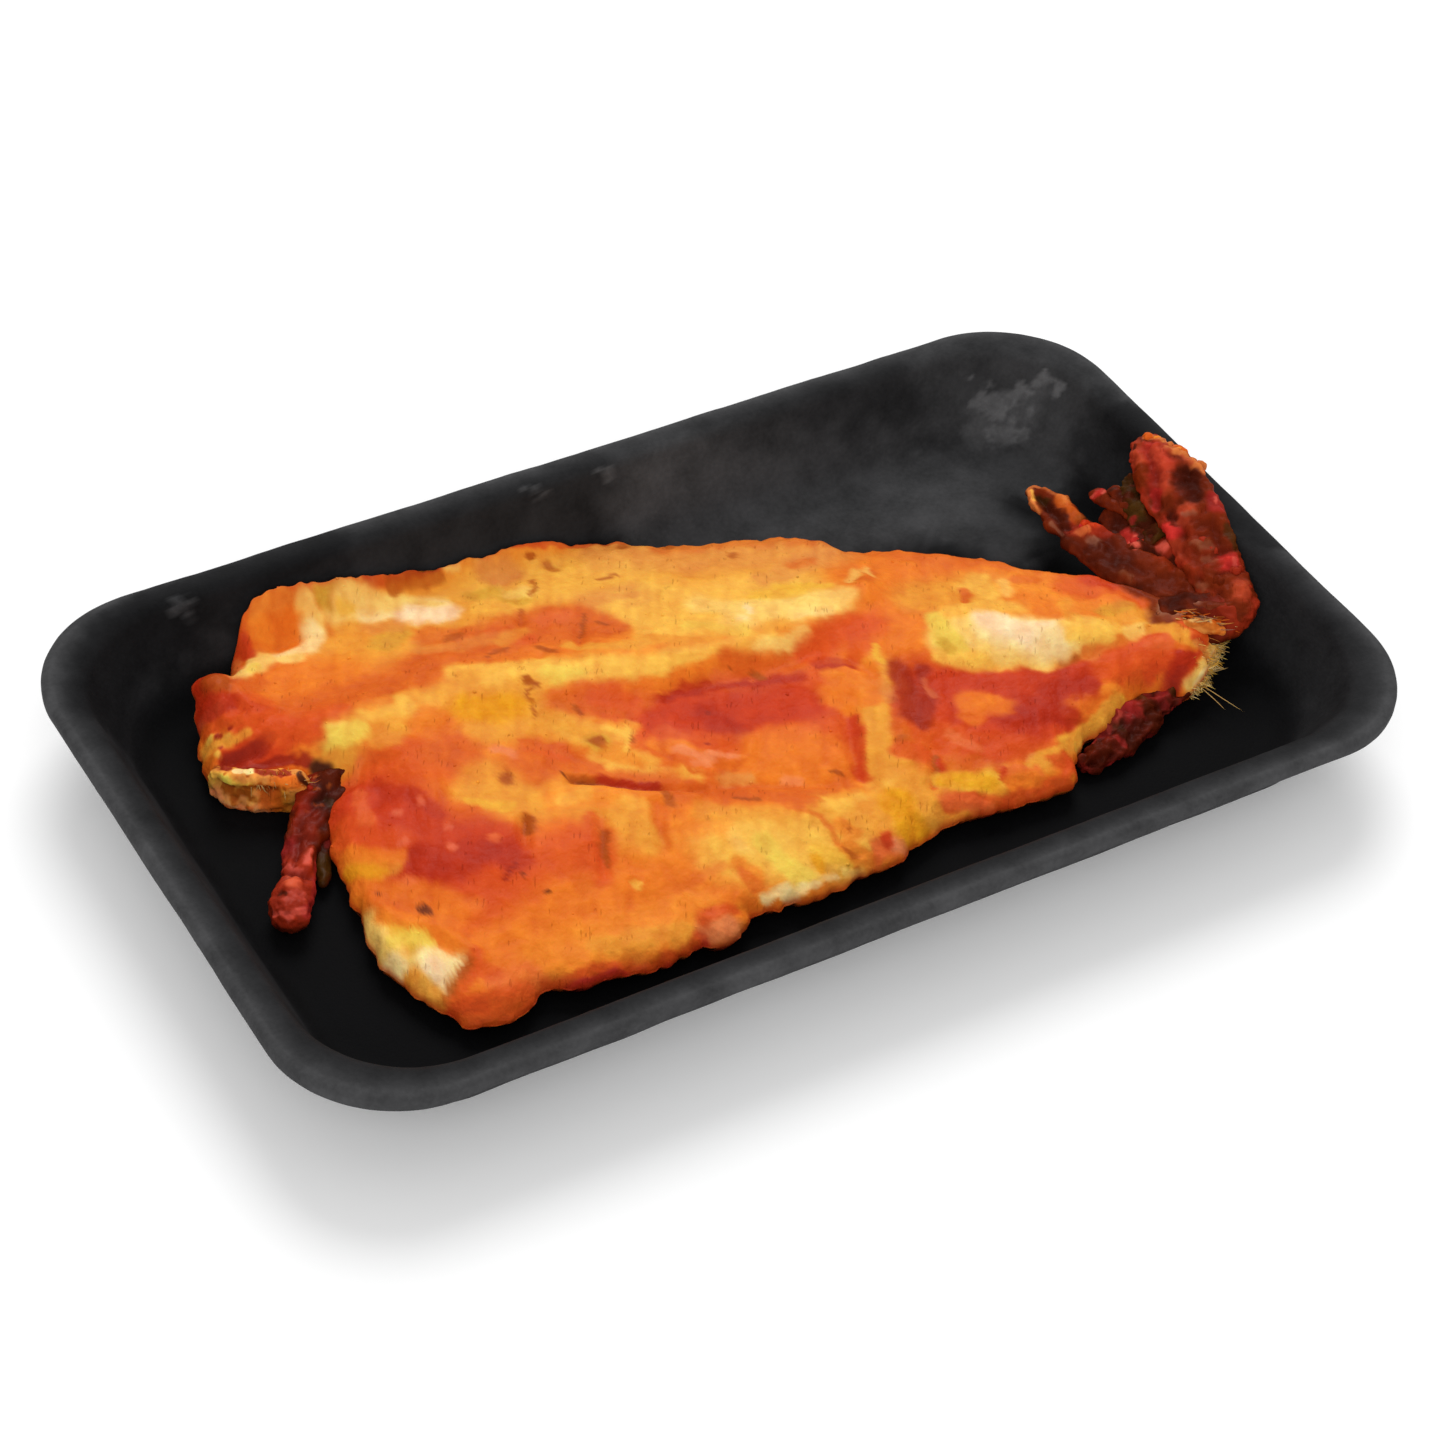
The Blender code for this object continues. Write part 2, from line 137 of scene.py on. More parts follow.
def smooth_curve(points: Course | Array, steps: int) -> Array:
    """A Catmull-Rom curve: each span is the cubic through its two ends, with each end's
    tangent half of the line between that end's neighbours.

    Args:
        points: the points that the curve goes through, one to a row.
        steps: points made for each span.

    Returns:
        The curve's points, one to a row.
    """
    rows = np.asarray(points, dtype=float)
    padded = np.vstack([2.0 * rows[0] - rows[1], rows, 2.0 * rows[-1] - rows[-2]])
    a, b, c, d = (padded[i:len(padded) - 3 + i, None] for i in range(4))
    t = (np.arange(steps) / steps)[None, :, None]
    spans = 0.5 * (2.0 * b + (c - a) * t + (2.0 * a - 5.0 * b + 4.0 * c - d) * t ** 2
                   + (3.0 * b - a - 3.0 * c + d) * t ** 3)
    return np.vstack([spans.reshape(-1, rows.shape[1]), rows[-1:]])


def unit(vectors: Array) -> Array:
    """Each row of numbers made one long."""
    return vectors / np.linalg.norm(vectors, axis=-1, keepdims=True)


def blend(start: Array, end: Array, share: Array | float) -> Array:
    """The straight mix from start, at a share of 0, to end, at 1."""
    return start + (end - start) * share


def lengths_along(line: Array) -> Array:
    """Distance along a line of points, from 0 at its first."""
    return np.concatenate([[0.0], np.cumsum(np.linalg.norm(np.diff(line, axis=0), axis=1))])


def at_lengths(curve: Array, wanted: Array, axes: int) -> Array:
    """Rows of a curve at the wanted shares of its length, measured in its first axes."""
    lengths = lengths_along(curve[:, :axes])
    return np.column_stack([np.interp(wanted * lengths[-1], lengths, column) for column in curve.T])


def height_along(points: Course, x: Array) -> Array:
    """Y of the smooth curve through the points at each X, for one that runs one way in X."""
    curve = smooth_curve(points, SPAN)
    curve = curve[np.argsort(curve[:, 0])]
    return np.interp(x, curve[:, 0], curve[:, 1])


def distance_to_course(x: Array, y: Array, course: Course) -> Array:
    """Distance of each point from a course of straight stretches; one point is a dab."""
    best = np.full(np.shape(x), np.inf)
    for (ax, ay), (bx, by) in zip(course, course[1:] or course):
        dx, dy = bx - ax, by - ay
        length = dx * dx + dy * dy
        along = np.clip(((x - ax) * dx + (y - ay) * dy) / length, 0.0, 1.0) if length else 0.0
        best = np.minimum(best, np.hypot(x - ax - along * dx, y - ay - along * dy))
    return best


@dataclass(frozen=True)
class Grain:
    """Uneven growth and frying, as smooth random values from about -1 to 1.

    Every corner of a cubic lattice gets a number from a whole-number hash, and the eight
    corners round a point are blended with weights that are level at both ends. Each further
    octave halves the lattice and the strength.
    """

    size: float
    seed: int = 1
    octaves: int = 2

    @staticmethod
    def corner(cell: Array, seed: int) -> Array:
        """A number from -1 to 1 for each lattice corner."""
        x, y, z = np.moveaxis(cell, -1, 0)
        mixed = x * 73856093 ^ y * 19349663 ^ z * 83492791 ^ seed * 26544357
        mixed = ((mixed ^ mixed >> 13) & 0xFFFFFFFF) * 1274126177
        mixed = ((mixed ^ mixed >> 16) & 0xFFFFFFFF) * 668265263
        return (mixed >> 12 & 0xFFFF) / 32767.5 - 1.0

    def at(self, points: Array) -> Array:
        """The grain's value at each point.

        Args:
            points: places in millimetres, in rows of two or three numbers.

        Returns:
            One value for each row.
        """
        rows = np.column_stack([points, np.zeros((len(points), 3 - points.shape[1]))]) / self.size
        total = np.zeros(len(rows))
        for octave in range(self.octaves):
            place = rows * 2.0 ** octave + 17.3 * octave
            cell = np.floor(place).astype(np.int64)
            weight = smooth_step(place - cell)
            for step in np.ndindex(2, 2, 2):
                share = np.prod(np.where(step, weight, 1.0 - weight), axis=1)
                total += share * self.corner(cell + step, self.seed + octave) / 2.0 ** octave
        return total


Layers = tuple[tuple[Grain, float], ...]


def layered(points: Array, layers: Layers) -> Array:
    """The sum of several grains, each times its strength."""
    return sum(grain.at(points) * strength for grain, strength in layers)


@dataclass(frozen=True)
class Blisters:
    """Round blisters in the crust: one in each square cell, at a random place in it."""

    size: float
    seed: int = 1

    def at(self, points: Array) -> Array:
        """Height of the nearest blister, from 0 at its rim to 1 on top: one less the square
        of the distance over its radius, which is random up to half a cell.

        Args:
            points: places in millimetres, in rows whose first two numbers are used.

        Returns:
            One height for each row.
        """
        place = points[:, :2] / self.size
        cell = np.floor(place).astype(np.int64)
        best = np.zeros(len(place))
        for step in np.ndindex(3, 3):
            near = np.column_stack([cell + step - 1, np.zeros(len(cell), np.int64)])
            across, along, girth = (Grain.corner(near, self.seed + i) * 0.5 + 0.5 for i in range(3))
            gap = np.hypot(near[:, 0] + across - place[:, 0], near[:, 1] + along - place[:, 1])
            best = np.maximum(best, 1.0 - (gap / (0.12 + 0.4 * girth)) ** 2)
        return best


@dataclass(frozen=True)
class Stroke:
    """One stroke of colour along a course, with a soft edge. One point makes a round dab."""

    tone: Tone
    half_width: float
    strength: float
    course: Course
    softness: float = 0.45

    def over(self, colour: Array, x: Array, y: Array) -> None:
        """Lays the stroke over colours, in place.

        Args:
            colour: display colours, one row to a point.
            x: first coordinate of each point.
            y: second coordinate of each point.
        """
        edge = self.half_width * (1.0 + self.softness)
        low = np.min(self.course, axis=0) - edge
        high = np.max(self.course, axis=0) + edge
        near = np.flatnonzero((x > low[0]) & (x < high[0]) & (y > low[1]) & (y < high[1]))
        gap = distance_to_course(x[near], y[near], self.course)
        cover = self.strength * smooth_step((edge - gap) / (2.0 * self.half_width * self.softness))
        colour[near] = blend(colour[near], self.tone.display(), cover[:, None])


@dataclass(frozen=True)
class Fold:
    """A raised or sunk stretch of surface: a bell across a course. One point is a dome."""

    height: float
    half_width: float
    course: Course

    def at(self, x: Array, y: Array) -> Array:
        """Height that the fold adds at each point."""
        return self.height * np.exp(-(distance_to_course(x, y, self.course) / self.half_width) ** 2)


def painted(colour: Array, x: Array, y: Array, strokes: tuple[Stroke, ...]) -> Array:
    """A copy of the colours with the strokes laid on it one after the other."""
    result = colour.copy()
    for item in strokes:
        item.over(result, x, y)
    return result


def places(text: str) -> Course:
    """Places from words such as "-4,2.5", one word to a place."""
    return tuple(tuple(float(number) for number in word.split(",")) for word in text.split())


def rows_in(table: str) -> list[str]:
    """The rows of a table, which lines or semicolons part, without headings."""
    rows = [row.strip() for line in table.splitlines() for row in line.split(";")]
    return [row for row in rows if row and not row.startswith("#")]


def strokes_in(table: str) -> tuple[Stroke, ...]:
    """Strokes laid on one after the other.

    Args:
        table: one row to a stroke: its tone, half-width, strength and the places of its
            course. The word "at" before the places makes a round dab at each instead.

    Returns:
        The strokes in their order.
    """
    made = []
    for row in rows_in(table):
        tone, half_width, strength, course = row.split(maxsplit=3)
        spots = places(course.removeprefix("at "))
        courses = [(spot,) for spot in spots] if course.startswith("at ") else [spots]
        made += [Stroke(Tone[tone], float(half_width), float(strength), line) for line in courses]
    return tuple(made)


def folds_in(table: str) -> tuple[Fold, ...]:
    """Folds from a table, one row to each: height, half-width and the course's places."""
    made = []
    for row in rows_in(table):
        height, half_width, course = row.split(maxsplit=2)
        made.append(Fold(float(height), float(half_width), places(course)))
    return tuple(made)


# ---- meshes

def grid_faces(rows: int, columns: int) -> Array:
    """Four-cornered faces of a grid whose points are numbered row by row, and whose last
    column joins the first.

    Args:
        rows: rows of points.
        columns: points in a row.

    Returns:
        Four point numbers to a face.
    """
    row, column = np.meshgrid(np.arange(rows - 1), np.arange(columns), indexing="ij")
    after = (column + 1) % columns
    return np.stack([row * columns + column, row * columns + after,
                     (row + 1) * columns + after, (row + 1) * columns + column], axis=-1).reshape(-1, 4)


def repeated(faces: Array, count: int, step: int) -> Array:
    """The same faces for each of several copies, whose points are a step of numbers apart."""
    return (faces[None] + np.arange(count)[:, None, None] * step).reshape(-1, faces.shape[1])


def ball(rings: int, sides: int, flatness: float = 1.0) -> Array:
    """Points of a ball of radius one, ring by ring from pole to pole, its height times the
    flatness."""
    tilt = np.linspace(0.0, math.pi, rings)[:, None]
    turn = np.linspace(0.0, FULL_TURN, sides, endpoint=False)[None]
    return np.stack([np.sin(tilt) * np.cos(turn), np.sin(tilt) * np.sin(turn),
                     np.cos(tilt) * np.ones_like(turn) * flatness], axis=-1).reshape(-1, 3)


def outward_normals(grid: Array) -> Array:
    """Unit normals of a grid that closes on itself along its second axis.

    Args:
        grid: points as rows, columns and X, Y, Z.

    Returns:
        The cross product of the two directions of the grid at each point, made one long.
    """
    padded = np.concatenate([grid[:, -1:], grid, grid[:, :1]], axis=1)
    around = padded[:, 2:] - padded[:, :-2]
    normal = np.cross(np.gradient(grid, axis=0), around)
    return normal / np.maximum(np.linalg.norm(normal, axis=2, keepdims=True), 1e-9)


def make_piece(name: str, points: Array, faces: Array | list, colour: Array, wet: Array | float,
               material: Material, close: bool = True) -> Piece:
    """Makes a smooth mesh object with its paint, at the origin.

    Args:
        name: the piece's name.
        points: places in millimetres, one to a row.
        faces: point numbers, one face to a row.
        colour: display colours of the points.
        wet: how oily each point is, from 0 to 1.
        material: the finish.
        close: whether points that lie together are merged and the faces turned outwards.

    Returns:
        The new object.
    """
    mesh = bpy.data.meshes.new(name)
    mesh.from_pydata((points * MM).tolist(), [], faces.tolist() if isinstance(faces, np.ndarray) else faces)
    paint = mesh.attributes.new(PAINT, "FLOAT_COLOR", "POINT")
    rows = np.column_stack([to_linear(np.clip(colour, 0.0, 1.0)), np.ones(len(points))])
    paint.data.foreach_set("color", rows.astype(np.float32).ravel())
    oil = mesh.attributes.new(WET, "FLOAT", "POINT")
    oil.data.foreach_set("value", np.broadcast_to(wet, len(points)).astype(np.float32))
    if close:
        shape = bmesh.new()
        shape.from_mesh(mesh)
        bmesh.ops.remove_doubles(shape, verts=shape.verts, dist=WELD * MM)
        bmesh.ops.dissolve_degenerate(shape, edges=shape.edges, dist=0.000001)
        bmesh.ops.recalc_face_normals(shape, faces=shape.faces)
        shape.to_mesh(mesh)
        shape.free()
    mesh.shade_smooth()
    mesh.materials.append(material)
    piece = bpy.data.objects.new(name, mesh)
    bpy.context.scene.collection.objects.link(piece)
    return piece


# ---- finishes

class Wire:
    """A node's output that takes part in sums: each operator adds a Math node."""

    def __init__(self, graph: Graph, socket: bpy.types.NodeSocket) -> None:
        """Keeps the graph that new nodes go in and the output itself."""
        self.graph = graph
        self.socket = socket

    def sum_with(self, operation: str, first: Wire | float, second: Wire | float) -> Wire:
        """Adds a Math node of the two values."""
        return self.graph.node("ShaderNodeMath", {"operation": operation}, {0: first, 1: second})

    def __add__(self, other: Wire | float) -> Wire:
        """This plus the other."""
        return self.sum_with("ADD", self, other)

    def __sub__(self, other: Wire | float) -> Wire:
        """This less the other."""
        return self.sum_with("SUBTRACT", self, other)

    def __rsub__(self, other: float) -> Wire:
        """The other less this."""
        return self.sum_with("SUBTRACT", other, self)

    def __mul__(self, other: Wire | float) -> Wire:
        """This times the other."""
        return self.sum_with("MULTIPLY", self, other)

    __radd__ = __add__
    __rmul__ = __mul__

    def between(self, low: float, high: float) -> Wire:
        """Rises from 0 to 1 with level ends while this goes from low to high."""
        return self.graph.node("ShaderNodeMapRange", {"interpolation_type": "SMOOTHSTEP"},
                               {"Value": self, "From Min": low, "From Max": high})


class Graph:
    """The node tree of one finish, round its Principled shader."""

    def __init__(self, name: str) -> None:
        """Makes the material."""
        self.material = bpy.data.materials.new(name)
        self.material.use_nodes = True
        self.tree = self.material.node_tree
        self.shader = self.tree.nodes["Principled BSDF"]

    def node(self, kind: str, settings: dict | None = None, sockets: dict | None = None,
             output: str | int = 0) -> Wire:
        """Adds a node.

        Args:
            kind: the node's type.
            settings: its properties, which are set first.
            sockets: values or wires for its inputs, by name or number.
            output: which output to give back.

        Returns:
            The output, ready for sums.
        """
        made = self.tree.nodes.new(kind)
        for key, value in (settings or {}).items():
            setattr(made, key, value)
        for key, value in (sockets or {}).items():
            self.feed(made.inputs[key], value)
        return Wire(self, made.outputs[output])

    def feed(self, target: bpy.types.NodeSocket, value: Wire | float | tuple) -> None:
        """Links a wire to an input, or sets the input's own value."""
        if isinstance(value, Wire):
            self.tree.links.new(value.socket, target)
        else:
            target.default_value = value

    def shade(self, **sockets: Wire | float | tuple) -> Material:
        """Feeds the Principled shader's inputs, named with _ for a space, and gives the material."""
        for key, value in sockets.items():
            self.feed(self.shader.inputs[key.replace("_", " ")], value)
        return self.material

    def mix(self, factor: Wire | float, first: Wire, second: Wire | tuple, kind: str = "MIX") -> Wire:
        """Mixes two colours."""
        return self.node("ShaderNodeMix", {"data_type": "RGBA", "blend_type": kind},
                         {0: factor, 6: first, 7: second}, 2)

    def tinted(self, colour: Wire, tint: Triple) -> Wire:
        """A colour times a tint."""
        return self.mix(1.0, colour, (*tint, 1.0), "MULTIPLY")

    def noise(self, size: float, place: Wire, detail: float = 2.0) -> Wire:
        """Noise from 0 to 1 with lumps of a size in millimetres."""
        sockets = {"Vector": place, "Scale": 1.0 / (size * MM), "Detail": detail}
        return self.node("ShaderNodeTexNoise", {}, sockets)

    def bump(self, height: Wire, depth: float, below: Wire | None = None) -> Wire:
        """A normal bent by a height, whose full range is `depth` millimetres deep."""
        sockets = {"Height": height, "Distance": depth * MM, "Strength": 1.0}
        if below is not None:
            sockets["Normal"] = below
        return self.node("ShaderNodeBump", {}, sockets)


def attribute(graph: Graph, name: str, output: str) -> Wire:
    """Reads one of the mesh's own attributes."""
    return graph.node("ShaderNodeAttribute", {"attribute_name": name}, {}, output)


@dataclass(frozen=True)
class FriedFinish:
    """Fried skin and flesh: paint, browned unevenly at a fine scale, and a film of oil."""

    name: str
    grain: float = 1.3
    browning: float = 0.4
    ticks: float = 0.3
    bump_depth: float = 0.3
    dry_roughness: float = 0.62
    oily_roughness: float = 0.4
    specular: float = 0.05
    coat: float = 0.02
    flesh_glow: float = 0.1
    glow_depth: float = 1.2
    glow_reach: Triple = (1.0, 0.35, 0.12)
    brown_tint: Triple = (0.9, 0.76, 0.6)
    pale_tint: Triple = (1.04, 1.08, 1.0)
    tick_tint: Triple = (0.5, 0.3, 0.22)
    lean: tuple[float, float] = (0.87, -0.5)

    def material(self) -> Material:
        """Builds the finish.

        Noises of two sizes push the paint towards a browner or a paler shade. Sparse thin ticks lie along
        the flakes too. The same noises bend the normal, and the attribute "wet" smooths the surface.
        """
        graph = Graph(self.name)
        place = graph.node("ShaderNodeTexCoord", {}, {}, "Object")
        paint = attribute(graph, PAINT, "Color")
        wet = attribute(graph, WET, "Fac")
        flaky = self.along_flakes(graph, place)
        fine = graph.noise(self.grain, place, 4.0)
        coarse = graph.noise(self.grain * 2.7, place, 2.0)
        tone = fine + coarse - 1.0
        share = tone.between(-0.3, 0.3) * self.browning + (0.5 - 0.5 * self.browning)
        colour = graph.mix(share, graph.tinted(paint, self.brown_tint), graph.tinted(paint, self.pale_tint))
        sparse = graph.noise(5.0, place, 1.0).between(0.5, 0.62)
        tick = graph.noise(self.grain * 0.42, flaky, 1.0).between(0.64, 0.72) * sparse
        colour = graph.mix(tick * self.ticks, colour, graph.tinted(paint, self.tick_tint))
        oily = wet * (self.oily_roughness - self.dry_roughness)
        rough = oily + self.dry_roughness + (fine - 0.5) * 0.25
        normal = graph.bump(fine + coarse * 0.6 - tick * 0.3, self.bump_depth)
        return graph.shade(
            Base_Color=colour, Roughness=rough, Normal=normal, Specular_IOR_Level=self.specular,
            Coat_Weight=wet * self.coat, Coat_Roughness=0.2, Subsurface_Weight=self.flesh_glow,
            Subsurface_Scale=self.glow_depth * MM, Subsurface_Radius=self.glow_reach)

    def along_flakes(self, graph: Graph, place: Wire) -> Wire:
        """The place with its distance along the flakes pressed to a fifth."""
        across = graph.node("ShaderNodeVectorMath", {"operation": "DOT_PRODUCT"},
                            {0: place, 1: (self.lean[0], self.lean[1], 0.0)}, 1)
        along = graph.node("ShaderNodeVectorMath", {"operation": "DOT_PRODUCT"},
                           {0: place, 1: (-self.lean[1] * 0.2, self.lean[0] * 0.2, 0.0)}, 1)
        return graph.node("ShaderNodeCombineXYZ", {}, {"X": across, "Y": along})


@dataclass(frozen=True)
class FoamFinish:
    """Black expanded foam with a skin: fine cells, cloudy tone and a dull sheen."""

    name: str
    cell: float = 0.55
    roughness: float = 0.7
    specular: float = 0.03

    def material(self) -> Material:
        """Builds the finish: cells and slow mottling bend the normal and shift the tone."""
        graph = Graph(self.name)
        place = graph.node("ShaderNodeTexCoord", {}, {}, "Object")
        paint = attribute(graph, PAINT, "Color")
        cells = graph.node("ShaderNodeTexVoronoi", {"feature": "F1"},
                           {"Vector": place, "Scale": 1.0 / (self.cell * MM)})
        cloud = graph.noise(7.0, place, 4.0)
        fine = graph.noise(0.9, place, 2.0)
        lift = (cloud - 0.5) * 1.3 + (fine - 0.5) * 0.5 + 1.0
        colour = graph.node("ShaderNodeVectorMath", {"operation": "SCALE"}, {0: paint, "Scale": lift})
        rough = (cloud - 0.5) * 0.3 + (fine - 0.5) * 0.15 + self.roughness
        normal = graph.bump(fine, 0.08, graph.bump(cells, 0.04))
        return graph.shade(Base_Color=colour, Roughness=rough, Normal=normal,
                           Specular_IOR_Level=self.specular)


# ---- tray

@dataclass(frozen=True)
class FoamTray:
    """The tray: rounded rectangles from the underside's flat, round the lip, to the floor."""

    length: float = 225.0
    width: float = 135.0
    height: float = 20.0
    sheet: float = 3.0
    rim_corner: float = 23.5
    floor_corner: float = 20.0
    slope: float = math.radians(65.0)
    lip_start: float = 1.4
    lip_end: float = 4.0
    lip_radius: float = 3.0
    lip_drop: float = 3.2
    fillet: float = 6.0
    corner_points: int = 44
    side_step: float = 2.6
    floor_rings: int = 26
    dents: Layers = ((Grain(14.0, 31, 2), 0.12), (Grain(2.4, 35, 1), 0.035))
    wander_x: Layers = ((Grain(3.0, 41, 3), 1.4),)
    wander_y: Layers = ((Grain(2.0, 43, 3), 1.4),)
    outer_heights: tuple[float, ...] = (0.0, 3.0, 5.0, 17.0, 20.0)
    outer_insets: tuple[float, ...] = (40.0, 15.5, 11.3, 6.0, 1.5)
    # Strokes on the foam: the pale patches on the far floor are a painted sheen, the dark bands along the
    # left, far and right walls are painted shade, and the scuffs are partly painted sheen.
    strokes: tuple[Stroke, ...] = strokes_in("""
        FLOOR_PALE 13 .95 20,52 70,42
        FLOOR_PALE 8 .8 74,36 78,24
        FLOOR_PALE 8 .85 70,48 84,46 94,38
        FLOOR 5 .5 -104,44 -95,58 -78,63 -50,64
        FLOOR 4 .5 108,30 110,10 111,-14
        SCUFF 6 .26 84,60 97,54 104,44
        SCUFF 3 .35 90,52 98,48
        SCUFF 1 .7 90,56 94,53 99,51
        SCUFF .8 .7 101,50 103,46
        SCUFF 1.1 .7 92,50 97,47
        SCUFF .6 .5 -9,62 -5,61
        SCUFF .6 .5 5.5,62 8.5,61.4
        SCUFF .8 .5 -81,62 -78,61
        """)

    def profile(self) -> Array:
        """Inset from the rim and height, from the underside's flat round to the floor: an
        outer fillet, the wall, the lip's two roundings, the inner wall and an inner fillet,
        each turned part an arc."""
        turn = np.linspace(0.0, self.slope, 9)
        lip = np.column_stack([self.lip_end + self.lip_radius * np.sin(turn),
                               self.height - self.lip_radius + self.lip_radius * np.cos(turn)])
        fillet_top = self.sheet + self.fillet * (1.0 - math.cos(self.slope))
        run = (lip[-1, 1] - fillet_top) / math.tan(self.slope)
        floor_inset = lip[-1, 0] + run + self.fillet * math.sin(self.slope)
        turn = np.linspace(self.slope, 0.0, 12)
        inner = np.column_stack([floor_inset - self.fillet * np.sin(turn),
                                 self.sheet + self.fillet * (1.0 - np.cos(turn))])
        turn = np.linspace(0.0, self.slope, 9)
        outer_fillet = self.fillet + self.sheet
        outer = np.column_stack([floor_inset - outer_fillet * np.sin(turn),
                                 outer_fillet * (1.0 - np.cos(turn))])
        under = self.height - self.lip_drop
        wall_top = outer[-1, 0] - (under - outer[-1, 1]) / math.tan(self.slope)
        turn = np.linspace(math.pi, math.pi / 2.0, 7)
        edge = np.column_stack([self.lip_start * (1.0 + np.cos(turn)),
                                self.height - self.lip_start * (1.0 - np.sin(turn))])
        corner = np.array([[wall_top, under], [0.6, under], [0.0, under + 0.6]])
        return np.vstack([outer, corner, edge, lip, inner])

    def dense_profile(self) -> Array:
        """The profile with long stretches divided, so that dents, scuffs and the painted sheen and shade of
        the strokes can show.
        """
        rows = self.profile()
        steps = np.maximum(np.ceil(np.linalg.norm(np.diff(rows, axis=0), axis=1) / 0.8).astype(int), 1)
        stretches = [np.linspace(a, b, n, endpoint=False) for a, b, n in zip(rows[:-1], rows[1:], steps)]
        return np.vstack([*stretches, rows[-1:]])

    def floor_inset(self) -> float:
        """Inset at which the floor is flat."""
        return float(self.profile()[-1, 0])

    def corner_radius(self, inset: Array | float) -> Array | float:
        """Corner radius of the rounded rectangle at an inset from the rim."""
        share = np.clip(inset / self.floor_inset(), 0.0, 1.0)
        return self.rim_corner + (self.floor_corner - self.rim_corner) * share

    def ring(self, inset: float) -> Array:
        """One rounded rectangle seen from above: four arcs joined by divided straights."""
        radius = float(self.corner_radius(inset))
        half_x = self.length / 2.0 - inset - radius
        half_y = self.width / 2.0 - inset - radius
        turn = np.linspace(0.0, math.pi / 2.0, self.corner_points)
        counts = [int(self.length / self.side_step), int(self.width / self.side_step)] * 2
        parts = []
        for quarter, (sign_x, sign_y) in enumerate(((1, 1), (-1, 1), (-1, -1), (1, -1))):
            angle = turn + quarter * math.pi / 2.0
            parts.append(np.column_stack([sign_x * half_x + radius * np.cos(angle),
                                          sign_y * half_y + radius * np.sin(angle)]))
        joined = []
        for quarter, count in enumerate(counts):
            start = parts[quarter][-1]
            end = parts[(quarter + 1) % 4][0]
            joined += [parts[quarter], np.linspace(start, end, count + 2)[1:-1]]
        return np.vstack(joined)

    def inset(self, x: Array, y: Array) -> Array:
        """Inset of the ring through each point, found by halving an interval."""
        low = np.full(np.shape(x), -20.0)
        high = np.full(np.shape(x), self.width / 2.0 - self.floor_corner)
        for _ in range(26):
            middle = (low + high) / 2.0
            radius = self.corner_radius(middle)
            corner_x = np.maximum(np.abs(x) - (self.length / 2.0 - middle - radius), 0.0)
            corner_y = np.maximum(np.abs(y) - (self.width / 2.0 - middle - radius), 0.0)
            inside = np.hypot(corner_x, corner_y) < radius
            low = np.where(inside, middle, low)
            high = np.where(inside, high, middle)
        return (low + high) / 2.0

    def surface(self, x: Array, y: Array) -> Array:
        """Height of the tray's inner surface at each point."""
        rows = self.profile()[-21:]
        return np.interp(self.inset(x, y), rows[:, 0], rows[:, 1])

    def build(self, material: Material) -> Piece:
        """Makes the tray: the profile's rings, closed by rings that shrink to the middle line."""
        profile = self.dense_profile()
        plans = np.stack([self.ring(inset) for inset, _ in profile])
        heights = np.broadcast_to(profile[:, 1, None, None], (*plans.shape[:2], 1))
        grid = np.concatenate([plans, heights], axis=2)
        normal = -outward_normals(grid)
        last = grid[-1]
        reach = self.length / 2.0 - self.width / 2.0
        middle = np.column_stack([np.clip(last[:, 0], -reach, reach), np.zeros(len(last)), last[:, 2]])
        shares = np.linspace(0.0, 1.0, self.floor_rings + 1)[1:, None, None]
        floor = last + (middle - last) * shares
        under = floor[::-1] - np.array([0.0, 0.0, self.sheet])
        normal = np.concatenate([np.tile([0.0, 0.0, -1.0], (*under.shape[:2], 1)), normal,
                                 np.tile([0.0, 0.0, 1.0], (*floor.shape[:2], 1))])
        grid = np.concatenate([under, grid, floor])
        points = grid.reshape(-1, 3)
        facing = normal.reshape(-1, 3)
        off_base = smooth_step((points[:, 2] - 0.3) / 2.0)
        shown = points + facing * (layered(points, self.dents) * off_base)[:, None]
        colour = self.colour(points)
        return make_piece("foam_tray", shown, grid_faces(*grid.shape[:2]), colour, 0.0, material)

    def colour(self, points: Array) -> Array:
        """Tone of the foam, with painted shade and painted sheen: darkest on the floor as painted shade,
        paler up the walls, palest on the lip and the outer wall as painted sheen, with the strokes laid
        over it. The outer wall below the lip stays plain."""
        x, y, z = points.T
        # painted shade and sheen: darkest on the floor, paler up the walls, palest on the lip and the outer
        # wall
        rise = smooth_step((z - self.sheet - 0.4) / 5.0)[:, None]
        inset = self.inset(x, y)
        lip = (smooth_step((5.2 - inset) / 5.0) * smooth_step((z - self.height + 4.0) / 2.4))[:, None]
        outer = (inset < np.interp(z, self.outer_heights, self.outer_insets))[:, None]
        colour = blend(Tone.FLOOR.display(), Tone.WALL.display(), rise)
        colour = blend(colour, Tone.LIP.display(), np.maximum(lip, outer))
        plain = outer & (z < self.height - self.lip_drop - 0.2)[:, None]
        stroked = painted(colour, x + layered(points, self.wander_x), y + layered(points, self.wander_y),
                          self.strokes)
        return np.where(plain, colour, stroked)
